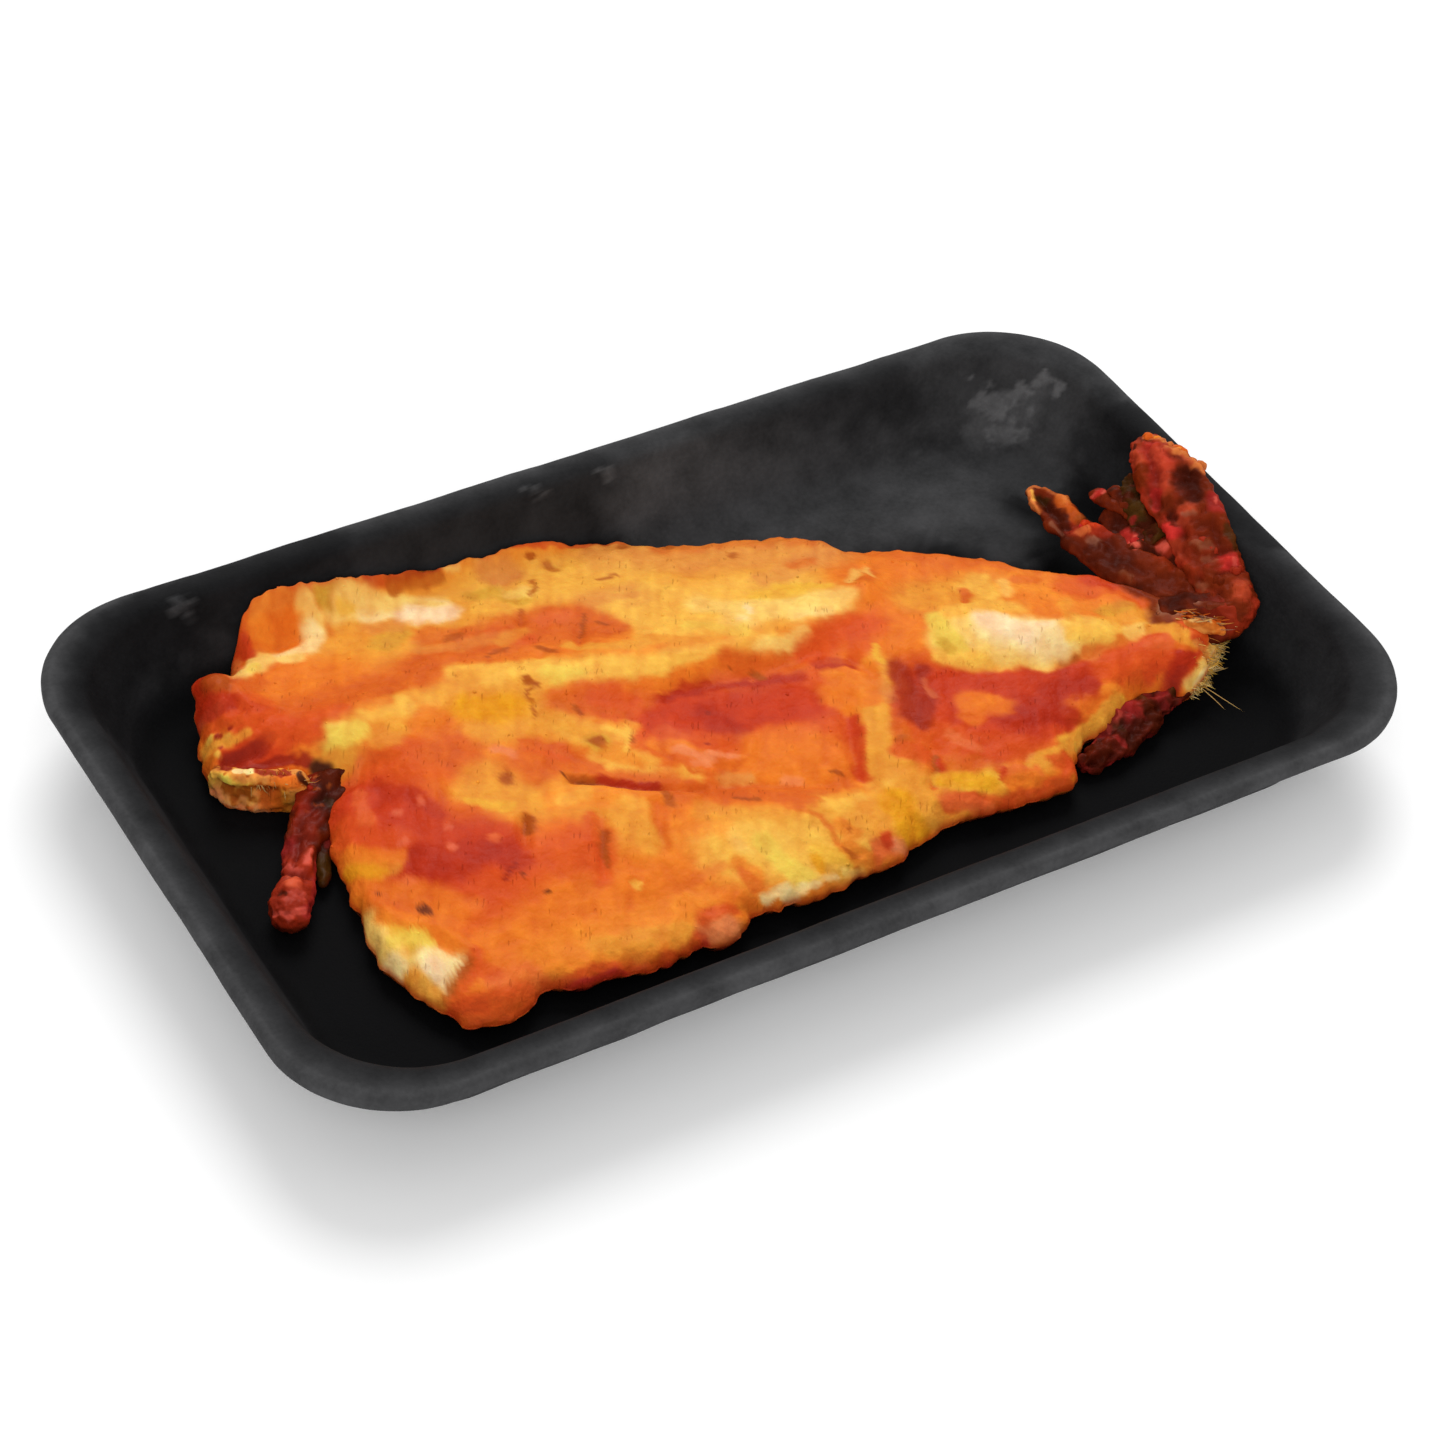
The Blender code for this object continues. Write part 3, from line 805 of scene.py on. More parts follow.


# ---- fish body

# a burnt line along the far edge near the tail: painted shade
# a char mark in the hollow beside the cut end: painted shade
# a red and a crimson line along the near edge's steep side: painted shade
# pale dabs on the bumps' tops are painted highlights, dark dabs between them are painted shade
# the maroon line in the groove and the char slit are painted shade, the pink cream line is a painted glint
BODY_STROKES = """
# far flank, broad
GOLD 10 .95 -55,45 -30,47 -5,45 15,40 30,32
TAN 6 .7 2,48 18,40 40,30
PALE_GOLD 8 .6 -22,47 -10,44 0,38
PALE_GOLD 9 .9 0,27 12,23 26,18
STRAW 4.6 .8 14,17 24,14.5 32,12
ORANGE 9 .9 -68,40 -62,36
BURNT 6 .75 -70,29 -50,29 -36,33
BURNT 7 .75 -30,32 -16,31
ORANGE 4.5 .6 -38,27 -20,24 -8,22
GOLD 4.6 .95 -69,20.5 -50,21.5 -35,20.5 -20,17 -8,14
PALE_GOLD 2.6 .8 -48,21 -34,20 -20,16.6 -8,13.4 4,10.4 14,9.6
GOLD 4 .85 -44,14 -36,12 -30,9
# near flank, broad
RED 9.5 .95 -69,4 -67,-10 -59,-15
RED_ORANGE 6 .7 -62,13 -53,9
BURNT 4 .8 -53,10 -47,5
ORANGE 4 .8 -52,17 -42,18
BURNT 3.4 .8 -44,4 -36,1
RED 4.6 .8 -71,8 -69,0
RED_ORANGE 6.5 .8 -62,-25 -50,-24 -42,-22
GOLD 5.5 .8 -49,0 -46,-6 -38,-10
GOLD 5.5 .8 -33,-17 -30,-26
GOLD 5 .75 -42,12 -30,6 -24,0
ORANGE 6.5 .85 -66,-36 -50,-33 -30,-34
BRIGHT_ORANGE 4.6 .75 -58,-40 -44,-41 -30,-41
ORANGE 7 .85 -22,-21 -8,-21 6,-18
PALE_GOLD 7.5 .92 -17,-33 -8,-37 0,-39
GOLD 5.5 .85 4,-33 12,-35 22,-37 30,-36.5
# middle dish, broad
RED_ORANGE 8 .85 -20,7 -8,-6 8,-9 14,-14
RED 6 .9 -12,2 0,-1 13,-4
BURNT 4 .8 6,4.5 22,3
ORANGE 1.8 .85 -14,9.6 -5,8.4 4,7.4
ORANGE 4 .85 19,-4 21,-11
ORANGE 5 .7 -6,-17 6,-15
# tail part, broad
ORANGE 9 .9 42,16 40,4
RED_ORANGE 4.5 .8 24,4 32,4.5
RED_ORANGE 3.4 .85 18,-1 21,2.6 27,-1.6
RED 3 .8 6,3.4 13,2
GOLD 6.5 .85 48,8 60,4
BRIGHT_ORANGE 8 .85 66,0 75,-6
RED_ORANGE 4.5 .7 76,-2 82,-9
RED 9.5 .95 34,-16 44,-23 54,-23
RED_ORANGE 4.5 .9 62,-24 76,-23.5 87,-23
GOLD 3.2 .85 71,-17 81,-16
ORANGE 6 .85 28,-3 25,-11
GOLD 2.6 .9 29.5,-4 26,-10
GOLD 3 .95 25,-11 19.5,-20 15,-30
RED_ORANGE 2.6 .8 28,-14 25.5,-19
PALE_GOLD 1.6 .75 22,-16 18,-24 15.5,-30
# far flap and the cream hook
BURNT 4.4 .85 -70,55 -58,54.5
RED_ORANGE 2.6 .8 -71,55.5 -70,52.5
TAN 1.8 .8 -67,58 -58,58.3 -45,57.4
STRAW 1.9 .95 -77,44.6 -72,47.5 -68.5,50.5
STRAW 2.6 .95 -52,54.6 -42,52.6 -33,49.5
PINK_CREAM 3.8 .95 -38,49 -35,47.5
CREAM 2.2 .9 -47,53 -41,51 -35,48
BURNT 1.4 .7 -68,52.5 -62,52.2
# far edge
BROWN 1 .65 -36,57 -31,56.8
DEEP_RED 1.1 .45 -44,57.8 -36,56.8 -30,56.8
STRAW .9 .8 -29,56.2 -26.5,56
RED .8 .5 -14,56.4 -4,55 8,51.5
BURNT 3.2 .5 14,47 34,39.5 46,31 62,15
BURNT 1.6 .6 20,47 34,41.5 44,34
BURNT 2 .6 56,24 66,13 78,3
# far flank, patches
OLIVE 2 .6 -26,49 -22,48 -19,43
STRAW 1.6 .6 -20,46.5 -17,44.5
OLIVE 2.4 .5 -49,43 -44,45
TAN 2.2 .6 -47,48 -43,47
BURNT 3 .7 -40,41 -35,37.5
BURNT 3 .7 -46,33 -36,33
TAN 3.6 .7 -9,35 0,34
BURNT 3 .75 -15,28 -8,28
BROWN 1 .6 -37.5,38.5 -35.5,37.6
BURNT 3.6 .8 -30,33 -17,34 -13,31
RED_ORANGE 2.2 .6 -28,35 -25,31
PALE_GOLD 1.7 .75 -17,15 -9,13 0,11
STRAW 1.5 .7 -69.5,22.5 -66,21.5
BRIGHT_ORANGE 3 .7 -13,20 -7,18
PALE_GOLD 1.6 .7 -6,33 -4,25 -7,19
YELLOW 2.6 .75 20,21.5 27,20
CREAM 1.3 .7 15,19.5 13,16.5
CREAM 1.8 .5 23,13 27,11.5
STRAW 1.8 .8 12,8.5 17,6.8 21,7.5
GOLD 1.8 .65 15,11.5 19,11
TAN 2.6 .6 24,27 34,28 40,31
BURNT 1.4 .55 31,28.5 35,28
STRAW 1.2 .7 41,21 37,17
BURNT 1 .7 43,19.5 39.5,16.5
PALE_GOLD 2.2 .6 -3,34 5,33
TAN 1.2 .6 -5,34.5 0,34.2
BROWN 1.2 .6 at 7,50 15,47 22.5,37
# middle dish, patches
DEEP_RED 1.4 .75 -11,6.2 -4,5.6 4,4.2 10,2 15,0
SALMON .9 .7 1,6.2 5,5
MAROON .8 .9 at -4.5,-.6
SALMON .8 .7 at 7,3.4
SALMON 2 .5 -14.5,-2 -13.5,-7
BRIGHT_ORANGE 1.6 .6 -17,-4 -12,-10
SALMON 1.8 .5 0,-12 9,-13.5
DEEP_RED 1.2 .5 20,1 26,-1 27.5,-7
RED 1.5 .8 18,-13.5 14.8,-19 12.5,-26
BRIGHT_ORANGE 1.2 .6 20,-2 22,-6
# crease and its far lip
BURNT 3.4 .8 -39,-2 -34,1 -30,-3
RED_ORANGE 2.2 .6 -38,5 -33,2
BROWN 1.4 .9 -34.5,-6.2 -31,-8
DARK .6 .6 -33.5,-6.6 -31.5,-7.8
BROWN 1.5 .8 -29.5,-8.4 -25,-12 -21.5,-14.3
DEEP_RED 1.4 .7 -26,-11 -21,-14.6
BURNT 3 .75 -20,-17.4 -13,-18.6
BURNT 2.4 .75 -20,-15.5 -12,-17.5 -8,-21
BURNT 2.4 .7 -14,-20.5 -6,-23 0,-25.5
BROWN 1 .7 -22.5,-16 -23,-19
BRIGHT_ORANGE 3.2 .8 -40,-9.5 -34,-10.5 -29.5,-13.5
PALE_GOLD 1.8 .5 -39,-10 -35,-10
PALE_GOLD 2.2 .7 -30,8 -27,3 -22,0
PALE_GOLD 1.8 .7 -28,-2 -20,-7.5
PALE_GOLD 1.2 .7 -27,-5.5 -18,-11.5 -14,-13.5
OLIVE 1.4 .8 -27.3,1.5 -26.3,-.6
BROWN .7 .7 -27,.8 -26.5,-.2
BROWN .6 .8 -20.6,-2.4
# near flank, patches
DEEP_RED 4 .5 -69,-12 -63,-14
DEEP_RED 3 .4 -59,-14 -55,-17
DEEP_RED 1.8 .5 -66,9 -62,3 -61,-3
RED_ORANGE 3.4 .7 -74,3 -74,-3 -70,-5
ORANGE 2.6 .8 -77,-4 -76.5,-10
ORANGE 3.2 .75 -75,-15 -70,-19 -67,-24
BURNT 2.6 .7 -78,-17 -75,-20
BLUSH 1 .85 at -66.5,1 -62,1 -69,-6 -60.5,-6.5 -62.5,-11.5
SALMON 1.2 .85 at -72,-13.5 -55,-12.5
DARK .55 .85 at -77,-14 -54.5,-23 -52,-28 -36,-4.4
DARK .9 .9 at -72.5,-20.5 -72.2,-21.8
BROWN .9 .6 -45,.6 -45.3,-1
BRIGHT_ORANGE 2 .75 -44.5,6 -42,6.5
RED_ORANGE 2.2 .7 -36.5,-17 -39,-24 -42,-29
BROWN .9 .6 -38,-22.5 -39,-24
BURNT 1.6 .65 -25.5,-19 -28.5,-27
PALE_GOLD 1.6 .5 -30,-15 -28,-17.5
BRIGHT_ORANGE 3 .6 -22,-25 -15,-30
BURNT 1.4 .4 -30,-36 -22,-35
STRAW 3 .7 -15,-32 -11,-34.5
CREAM .9 .7 -18,-43 -10,-43.6 -4,-44.5
YELLOW 1.8 .7 -4,-40 1,-42
ORANGE 1.2 .6 2,-36 4,-39
PALE_GOLD 1.6 .7 1.5,-29.5 4.5,-33 9,-31
BURNT 1.5 .6 -2,-29 3,-27 9,-26.5
BROWN .6 .6 at 3.5,-38 1.2,-44
RED_ORANGE 1.1 .7 5,-43.6 11,-42
BURNT .9 .8 26.5,-28 25.5,-31.5 23,-34.5
YELLOW 2.2 .8 26,-33.5 31,-37 36,-35
RED_ORANGE 1.5 .8 24,-39 30,-39.8
BURNT 1.2 .8 36.5,-36 35.5,-39
# tail part, patches
DEEP_RED 4.6 .8 46,-28.5 53,-27 60,-25
BURNT 2.6 .75 -27.5,-8.6 -20,-12.4
BURNT 2.8 .7 24,-21 22.5,-26
RED_ORANGE 3 .7 28,-22 27,-27
ORANGE 2.2 .7 43.5,-21 38,-23
DEEP_RED 3.4 .75 51,-20.5 59,-22
RED 3.6 .75 33,-32 42,-31 52,-32
BURNT 2.6 .75 27,-31 32,-33
YELLOW 1.4 .9 45,-37 52,-34.9 60,-32.3 67,-30.2
STRAW .9 .8 43,-36 46,-38
SALMON 1.4 .7 38,-37 42,-38.4
RED_ORANGE .9 .8 34,-41 47,-41 52,-39.5
ORANGE 2.2 .8 56,-29.5 66,-27.5
BRIGHT_ORANGE .9 .7 64,-27 68,-28.5
STRAW 4.2 .92 45,-5.5 52,-8.5 60,-12 68,-16.5
PALE_GOLD 2.6 .8 45,-10.5 52,-13.5 60,-16.5
CREAM 3.2 .95 50,-6 54,-7.6 59,-10.6 64,-13.6
PALE_GOLD 3 .85 66,-14.6 72,-17.4
PINK_CREAM 2.2 .9 54.5,-6 56.5,-9 61,-12
PALE_GOLD 2.4 .8 46,0 54,-1 61,-4
PALE_GOLD 2.2 .8 56,6.5 60,8.5 58,2
BURNT 1 .85 55.5,6.5 53,2.2
ORANGE 2.6 .7 63,-2 66,-9
GOLD 1.6 .6 70,-6 68,-12
BURNT 1.5 .6 67,5 70,4
OLIVE 1.8 .6 75,-12 80,-12
BRIGHT_ORANGE 1.6 .6 71,-9 79,-9
STRAW 1.3 .7 76,-18.6 80.5,-19
BURNT 1 .7 66,-19.2 74,-19
BROWN .8 .6 61.5,-18.5 64,-19.5
RED 2.4 .8 79,-1 82.5,-4.5
FIN_BROWN 2.2 .85 85,-5 86.5,-12 83.5,-18.5
SINEW 2.2 .8 86,-16.5 90,-20
SALMON 1.6 .7 81,-23 85.5,-24
DEEP_RED 1.5 .75 87,-25.8 83.6,-27.8 79.4,-29.6
STRAW 1.2 .9 93.4,-23.4 90.4,-26.8 86.6,-29.6 81,-32.6
CREAM .6 .8 92.6,-25.6 88.4,-29.4 82.6,-32.6
RED 1.4 .7 75,-27.6 82,-26.4
# the broken corner at the head end
YELLOW 2.6 .95 -79,-22.5 -76.5,-26.5
RED 1.2 .7 -77,-41.5 -72,-43.8
# far flap, closer
ORANGE 4.6 .6 -66.5,57 -62,55.5 -66,54
BRIGHT_ORANGE 1.6 .6 -67,55.5 -66,54.5
RED 1.5 .85 -70.5,54.5 -71,52
STRAW 1.9 .9 -57,56 -56.4,54 -57.4,51.5
OLIVE 1.6 .8 -53.5,56.5 -51,55.5
CREAM 2.2 .9 -58,51.5 -61,49 -65.5,48
STRAW 1.4 .9 -66,47 -64,46.5
STRAW 2 .95 -74.5,47 -71.5,47.5 -69,48.5
LEMON 1.2 .6 -73,46.5 -72,47
SALMON 1.2 .7 -73.5,53 -74.5,49.5
STRAW 2.2 .9 -50,55 -43.5,54 -38,52 -34,48
YELLOW 1 .6 -50.5,54.5 -49.5,53.5
PINK_CREAM 2.4 .95 -39,49.5 -36,46.5 -33.5,46
BROWN 1.1 .55 -40.5,56 -36,56 -31,55
TAN 2.6 .8 -21,54 -19,51.5 -17,52.5
BROWN .6 .8 -12,54 -11,54
BROWN .9 .55 -9.5,51.5 -9,49
BROWN .6 .6 -14.5,48.5 -15.5,45.5 -16.5,44
BROWN .45 .7 -3,41.5 .5,41
BROWN .45 .7 -33.5,29.5 -31.5,30 -29.5,30
BROWN 1 .75 -24.5,27 -23.5,25.5 -22.5,25
BROWN .5 .7 -21,40 -23,36
BURNT 3.4 .7 -25,36.5 -18.5,35 -12.5,32.5 -10,27
SALMON 1.8 .6 -19.5,35 -15,34.5
BROWN .5 .75 -12,32.5 -15.5,27
BROWN .45 .7 -10.5,29.5 -9,28
GOLD 1.4 .9 -19,25.5 -14.5,21.5 -8.5,18.5
PALE_GOLD 2.8 .8 -40.5,26.5 -34,24 -27.5,20.5 -21,17.5 -14.5,14.5
LEMON 1.8 .8 -27.5,19 -23,17 -26.5,16.5
GOLD 3.4 .8 -45.5,21.5 -41,18.5 -36,16.5 -31.5,17
GOLD 2.6 .7 -32.5,12 -28,8 -25,3
LEMON 2 .85 -70,22 -67.5,21 -64,20.5
PALE_GOLD 2 .8 -60.5,23 -57,23 -54,22.5
BROWN .7 .85 -31,19.5 -30.5,18
BROWN .35 .7 -31.5,17.5 -32.5,14.5 -33.5,10.5
BURNT 3 .8 -28,12.5 -23,10 -18.5,7 -14.5,7
RED_ORANGE 2.2 .7 -21,9.5 -16.5,6.5
BROWN .6 .75 -26,10 -25.5,8.5
PALE_GOLD 1.6 .8 -23.5,2.5 -22,1.5 -19.5,2
BROWN .7 .7 -27.5,1.5 -26.5,-1
BROWN .5 .7 -20.5,-1 -21,-2
BURNT .6 .6 -39,7 -35.5,4 -32,1.5 -28.5,-5
CORAL 1.2 .8 -44,6.5 -42.5,6 -42,4
BROWN .6 .7 -44,1.5 -45,-1
# near flank, closer
DEEP_RED 2.4 .55 -68.5,-10.5 -66,-14.5
DEEP_RED 2.6 .5 -57.5,-14.5 -54,-19.5
GOLD 2 .8 -77,-5 -75,-8 -73,-9
GOLD 3 .75 -53.5,-1 -48,-3 -44.5,-7.5
YELLOW 1.1 .7 -54.5,-2.8 -51.5,-5.2 -48,-7
BROWN 1.1 .9 -47.5,-11.5 -48.5,-13.5
MAROON .5 .7 -57.5,-22 -56,-20 -54.5,-19.5
BROWN .7 .75 -36.5,-19.5 -38,-23.5 -39.5,-26.5
GOLD 2.6 .8 -32.5,-18 -31,-20.5 -31,-25.5
PALE_GOLD .5 .8 -37,-32.5 -36,-33 -36.5,-33.5
BRIGHT_ORANGE 2.6 .8 -53,-40 -45.5,-42 -38.5,-43 -33,-44
GOLD 1.8 .7 -49,-41.5 -40.5,-43 -34,-44
SALMON 2.6 .6 -68,-41.5 -62.5,-41.5
RED_ORANGE 2.2 .8 -74.5,-43.5 -69.5,-45 -64,-44.5
# the broken corner, closer
STRAW 2 .95 -81.5,-17 -82,-23
STRAW 2.2 .95 -81,-25.5 -81,-29.5
CREAM 1.4 .9 -82,-27.5 -81.5,-30
OLIVE .9 .7 -78,-27.5 -79,-30.5
CREAM 3 .97 -76.5,-31 -74,-33.5 -77,-35.5
PINK_CREAM 1.8 .9 -76.5,-33 -76,-34.5
GOLD 1.6 .9 -80,-33 -79,-35.5 -78,-38.5
RED_ORANGE 1.6 .7 -69.6,-34 -72.6,-38 -76,-40.6
BROWN .9 .7 -71,-34.6 -74,-36.6 -77.4,-38.8
# middle, closer
STRAW 3.2 .8 9,25 14.5,20 22.5,15.5 32,13
YELLOW 1.2 .8 25,23 32.5,18
PINK_CREAM .8 .6 15.5,20 15,17.5
LEMON 2 .6 3,18.5 10.5,13.5
STRAW 1.5 .8 12.5,7.5 15.5,7 17.5,7
BURNT 2.4 .8 4.5,8 10,5.5 16.5,3
RED_ORANGE 3 .8 21,4.5 26.5,5.5 31,6
RED_ORANGE 2.4 .7 30.5,5.5 28.5,-.5
RED 4 .8 -7,1 -1.5,-3.5 8.5,-5 13,-6
DEEP_RED 2.6 .7 -4.5,-.5 -4.5,-5 -2.5,-7.5
DEEP_RED .7 .8 -9.5,7.5 -6.5,6 -3,5
BROWN .8 .9 8,5 9.5,3
BROWN .45 .8 4,6.5 4,6.5
MAROON .6 .9 -4,-.5
MAROON .5 .8 -9,-8.5
BURNT .5 .8 -15.5,-4 -17,-7 -15,-12.5 -9,-15.5 -4,-14.5
CORAL .9 .85 -15,-7.5 -11,-11.5 -6,-13
CORAL .5 .7 -14,-11 -10,-13
TAN 1.4 .8 -10,-16.5 -8,-18.5 -6,-19
DEEP_RED .9 .85 -30,-7 -26,-10.5 -21.5,-13
BURNT 1.6 .8 -19,-14.5 -12.5,-19.5 -5.5,-24.5 .5,-29.5
BROWN .5 .8 -11.5,-22.5 -10,-23.5 -8,-24.5
ORANGE 4 .7 -.5,-13 5.5,-16.5 11.5,-20.5
BROWN .4 .8 8.5,-24 9,-25
CORAL 1 .7 -.5,-21.5 1.5,-23
ORANGE 3 .8 19,-6.5 20,-10
DEEP_RED .6 .7 20,-.5 24.5,-2 27,-5.5
TAN 1.6 .8 26,-8 26.5,-11.5 25.5,-14
GOLD 2.2 .95 22.5,-15.5 19,-22 16,-27.5
GOLD 3.2 .9 13,-34 11.5,-38.5
RED 1 .65 17.5,-17.5 15,-23 13,-27.5
MAROON 2.4 .7 32.5,-7.5 30.5,-12.5 27.5,-18.5
MAROON 1.5 .7 37,-9.5 33,-16 28.5,-21.5
CORAL .9 .5 35.5,-12 34,-15.5
BROWN 1.1 .7 22.5,-23.5 22,-25
BROWN .7 .8 27,-28.5 26,-31 24,-34
# the golden fan
PALE_GOLD 3.4 .85 -13,-30.5 -11,-36 -9,-41.5
LEMON 1.8 .8 -12,-34 -11,-39.5 -9,-43
GOLD 2 .6 -19,-23 -13,-27 -6.5,-29.5
BURNT .6 .6 -4,-29 0,-33 .5,-39
STRAW .8 .7 -1.5,-44 1.5,-45
CREAM .8 .8 -18,-43.5 -12.5,-44 -7.5,-45.5
CORAL 2.6 .8 -29.5,-46 -27,-47
RED_ORANGE 1.4 .8 -29.5,-44 -27.5,-44 -24.5,-44
SALMON 1.6 .85 6.5,-42.5 9,-43.5
CORAL 1.2 .9 10,-43 13,-43
RED 1 .85 9,-41.5 9,-42.5
# tail part, closer
LEMON 2.2 .9 45,0 44.5,-4 44,-7
STRAW 2.6 .95 48.5,-4.5 51.5,-12 58,-16
CREAM 3 .95 52,-6 56,-12 62.5,-15.5
PINK_CREAM 2.6 .95 53,-4.5 55,-8 57.5,-11.5
PALE_GOLD 2 .85 42,-8 44.5,-11.5 47.5,-13
PALE_GOLD 1.8 .85 65.5,-15.5 68.5,-17 71,-18
OLIVE .7 .6 43.5,-5.5 43.5,-7.5
RED 3 .85 38.5,-14 48,-18 58,-23 63,-23.5
DEEP_RED 2.4 .8 55.5,-23 59.5,-24 62.5,-25.5
DEEP_RED 2.4 .85 45,-25.5 50,-28 55,-29.5
ORANGE 2.4 .85 39.5,-19 42.5,-21 45,-23.5
RED_ORANGE 3 .7 31.5,-26.5 38,-30 42.5,-33
CORAL 1 .4 32,-25.5 33,-28 35,-30.5
GOLD 1.5 .95 66,-30.4 60,-32.4 54.5,-34.6 48,-37 44.5,-38
PALE_GOLD .9 .8 64.5,-32 59.5,-33.5 54,-36
RED_ORANGE 3.4 .8 68.5,-23.5 75.5,-23.5 80.5,-24.5
SALMON 1.4 .7 78.5,-22.5 82.5,-23.5
GOLD 1.3 .85 81.5,-19.5 84,-21 85,-23
YELLOW 1.6 .9 25,-33.5 29.5,-36.5 34.5,-38
RED .6 .8 27.5,-29.5 26.5,-32
RED .6 .8 37,-36 35.5,-38
ORANGE 1.6 .8 37,-39 41,-39.5
RED_ORANGE 1.4 .8 25,-38.5 33,-41.5 41,-42.5 46.5,-43
GOLD 3.2 .85 21,-27.5 18,-36 18,-39.5
# far side, second look
TAN 1.8 .5 -42.5,37 -35,34 -28.5,34
GOLD 1.6 .6 -28.5,32.5 -24.5,34
GOLD 2 .7 -44,24 -40,24.5
AMBER 3.2 .8 -44,18 -39.5,15 -36,14.5
GOLD 1.8 .7 -62.5,17.5 -59.5,17 -57,18
ORANGE 1.4 .6 -63.5,28 -60,24.5 -56.5,25
ORANGE 1.2 .5 -24,4.5 -18.5,1.5
ORANGE 1.2 .5 -26.5,-2 -22,-6
PALE_GOLD .6 .7 -20.5,1.5 -23,-3.5
GOLD 1.6 .8 -7,20 -1,16 5,14.5
PALE_GOLD 1 .7 -4,21.5 3.5,16
STRAW .6 .7 43,21 42,18.5
# middle and near side, second look
ORANGE 2 .85 27.5,-5 23.5,-12.5
YELLOW .7 .8 31.5,-1 30.5,-5
RED_ORANGE 1.8 .8 21.5,-25 24.5,-27.5
ORANGE 1.8 .7 -19,-36 -17.5,-38.5
BURNT 1.1 .7 -19,-37.5 -18.5,-41
ORANGE 1.5 .7 1.5,-40 3,-43
BROWN .4 .6 1,-40 2,-42.5
AMBER 2.8 .8 14.5,-34.5 14,-39 14.5,-42
AMBER 1 .7 -5.5,-40.5 -6,-42
AMBER 1.4 .6 25.5,-34 33,-38
SALMON 1.6 .7 24,-38 30,-41
RED 1.2 .8 50,-40 50,-41.5
RED_ORANGE 2.2 .8 47.5,-36 49,-39
GOLD .8 .9 42,-37 49,-36.5 59,-33 66.5,-31
RED_ORANGE 1.6 .7 -70,-37 -68.5,-38.5
ORANGE 1.8 .85 -79,-19 -75.5,-22.5 -72.5,-26 -72,-30.5
LEMON 1.4 .8 -80,-24.5 -77,-25.5 -75.5,-28
AMBER 1.6 .7 -78,-5.5 -75,-9
ORANGE 1.6 .8 -76.5,-3 -71,-8.5
RED 1.3 .6 -60,-43.6 -54.5,-46 -48,-45.8 -42.5,-47.6 -36,-47.6 -31.8,-46.4
CRIMSON .8 .8 -60,-44.6 -54.5,-47 -48,-46.6 -42.5,-48.6 -36,-48.6 -31.8,-47.4
BURNT .9 .75 43,33.4 52,28 60.6,21.4 68,14.8
DEEP_RED 1.8 .8 83,-27.5 80.5,-30 77.5,-31.5
MAROON .9 .7 81,-30 78,-32
ORANGE 1.2 .7 84,-24.5 85.5,-26
GOLD .9 .8 81,-19 84,-22.5 86,-25.5
TAN .8 .7 87,-25.5 88,-27.5
STRAW 1.5 .6 63.5,5.5 62,1.5
# collar
RED 6 .95 -83,43 -84,34 -80,28
RED_ORANGE 2.6 .8 -81,41 -79.6,34
DEEP_RED 2.4 .85 -81.5,47 -85,42.4 -86.2,38.6
SALMON 1.6 .8 -79.6,44.5 -77.6,40
BLUSH 1.2 .75 -85.6,39.6 -81.6,38.6
BURNT 3 .9 -87,36 -84.6,33
RED_ORANGE 2.6 .85 -80.5,31 -76,27.5 -72,25
ORANGE 1.4 .9 -88.8,36 -88.4,31
GOLD 1.6 .9 -87.4,33.6 -84,31.6
PALE_GOLD .8 .85 at -86.4,34.4 -84,32.2 -87.4,30.6
MAROON .6 .85 at -85.2,33.6 -82.6,33.8 -85.8,31.4
MAROON 1.2 .9 -87,28.6 -83,27.4 -78.5,27.6
CHAR .8 .9 -88.6,27.6 -86.8,26.6
PINK_CREAM .6 .95 -86.4,25.2 -84.2,24.2
MAROON .9 .85 -87,26.8 -82,24.8 -77.6,22.8 -74.6,20.8
BROWN 2.4 .7 -80.9,44.9 -80.2,43.4
DEEP_RED 2.2 .7 -84,40 -80.6,38.6
RED_ORANGE 1.4 .8 -85.4,36.8 -79,35.4
DEEP_RED 1.3 .85 -78.6,35.6 -77,34
GOLD .8 .8 -85.6,32.2 -81.4,30.4
# head end beside the collar
RED_ORANGE 3.2 .8 -77,36 -76,28 -72,25
BURNT 2 .7 -77,41 -73,43
RED_ORANGE 3.6 .75 -73,30 -66,27.6
BURNT 3.6 .7 -71,34 -62,31
SALMON 1 .6 -69,13 -67,16
SALMON 1.4 .6 -70,9 -72,2
CHAR 1.3 .9 -73.5,19.2 -71.5,17
"""


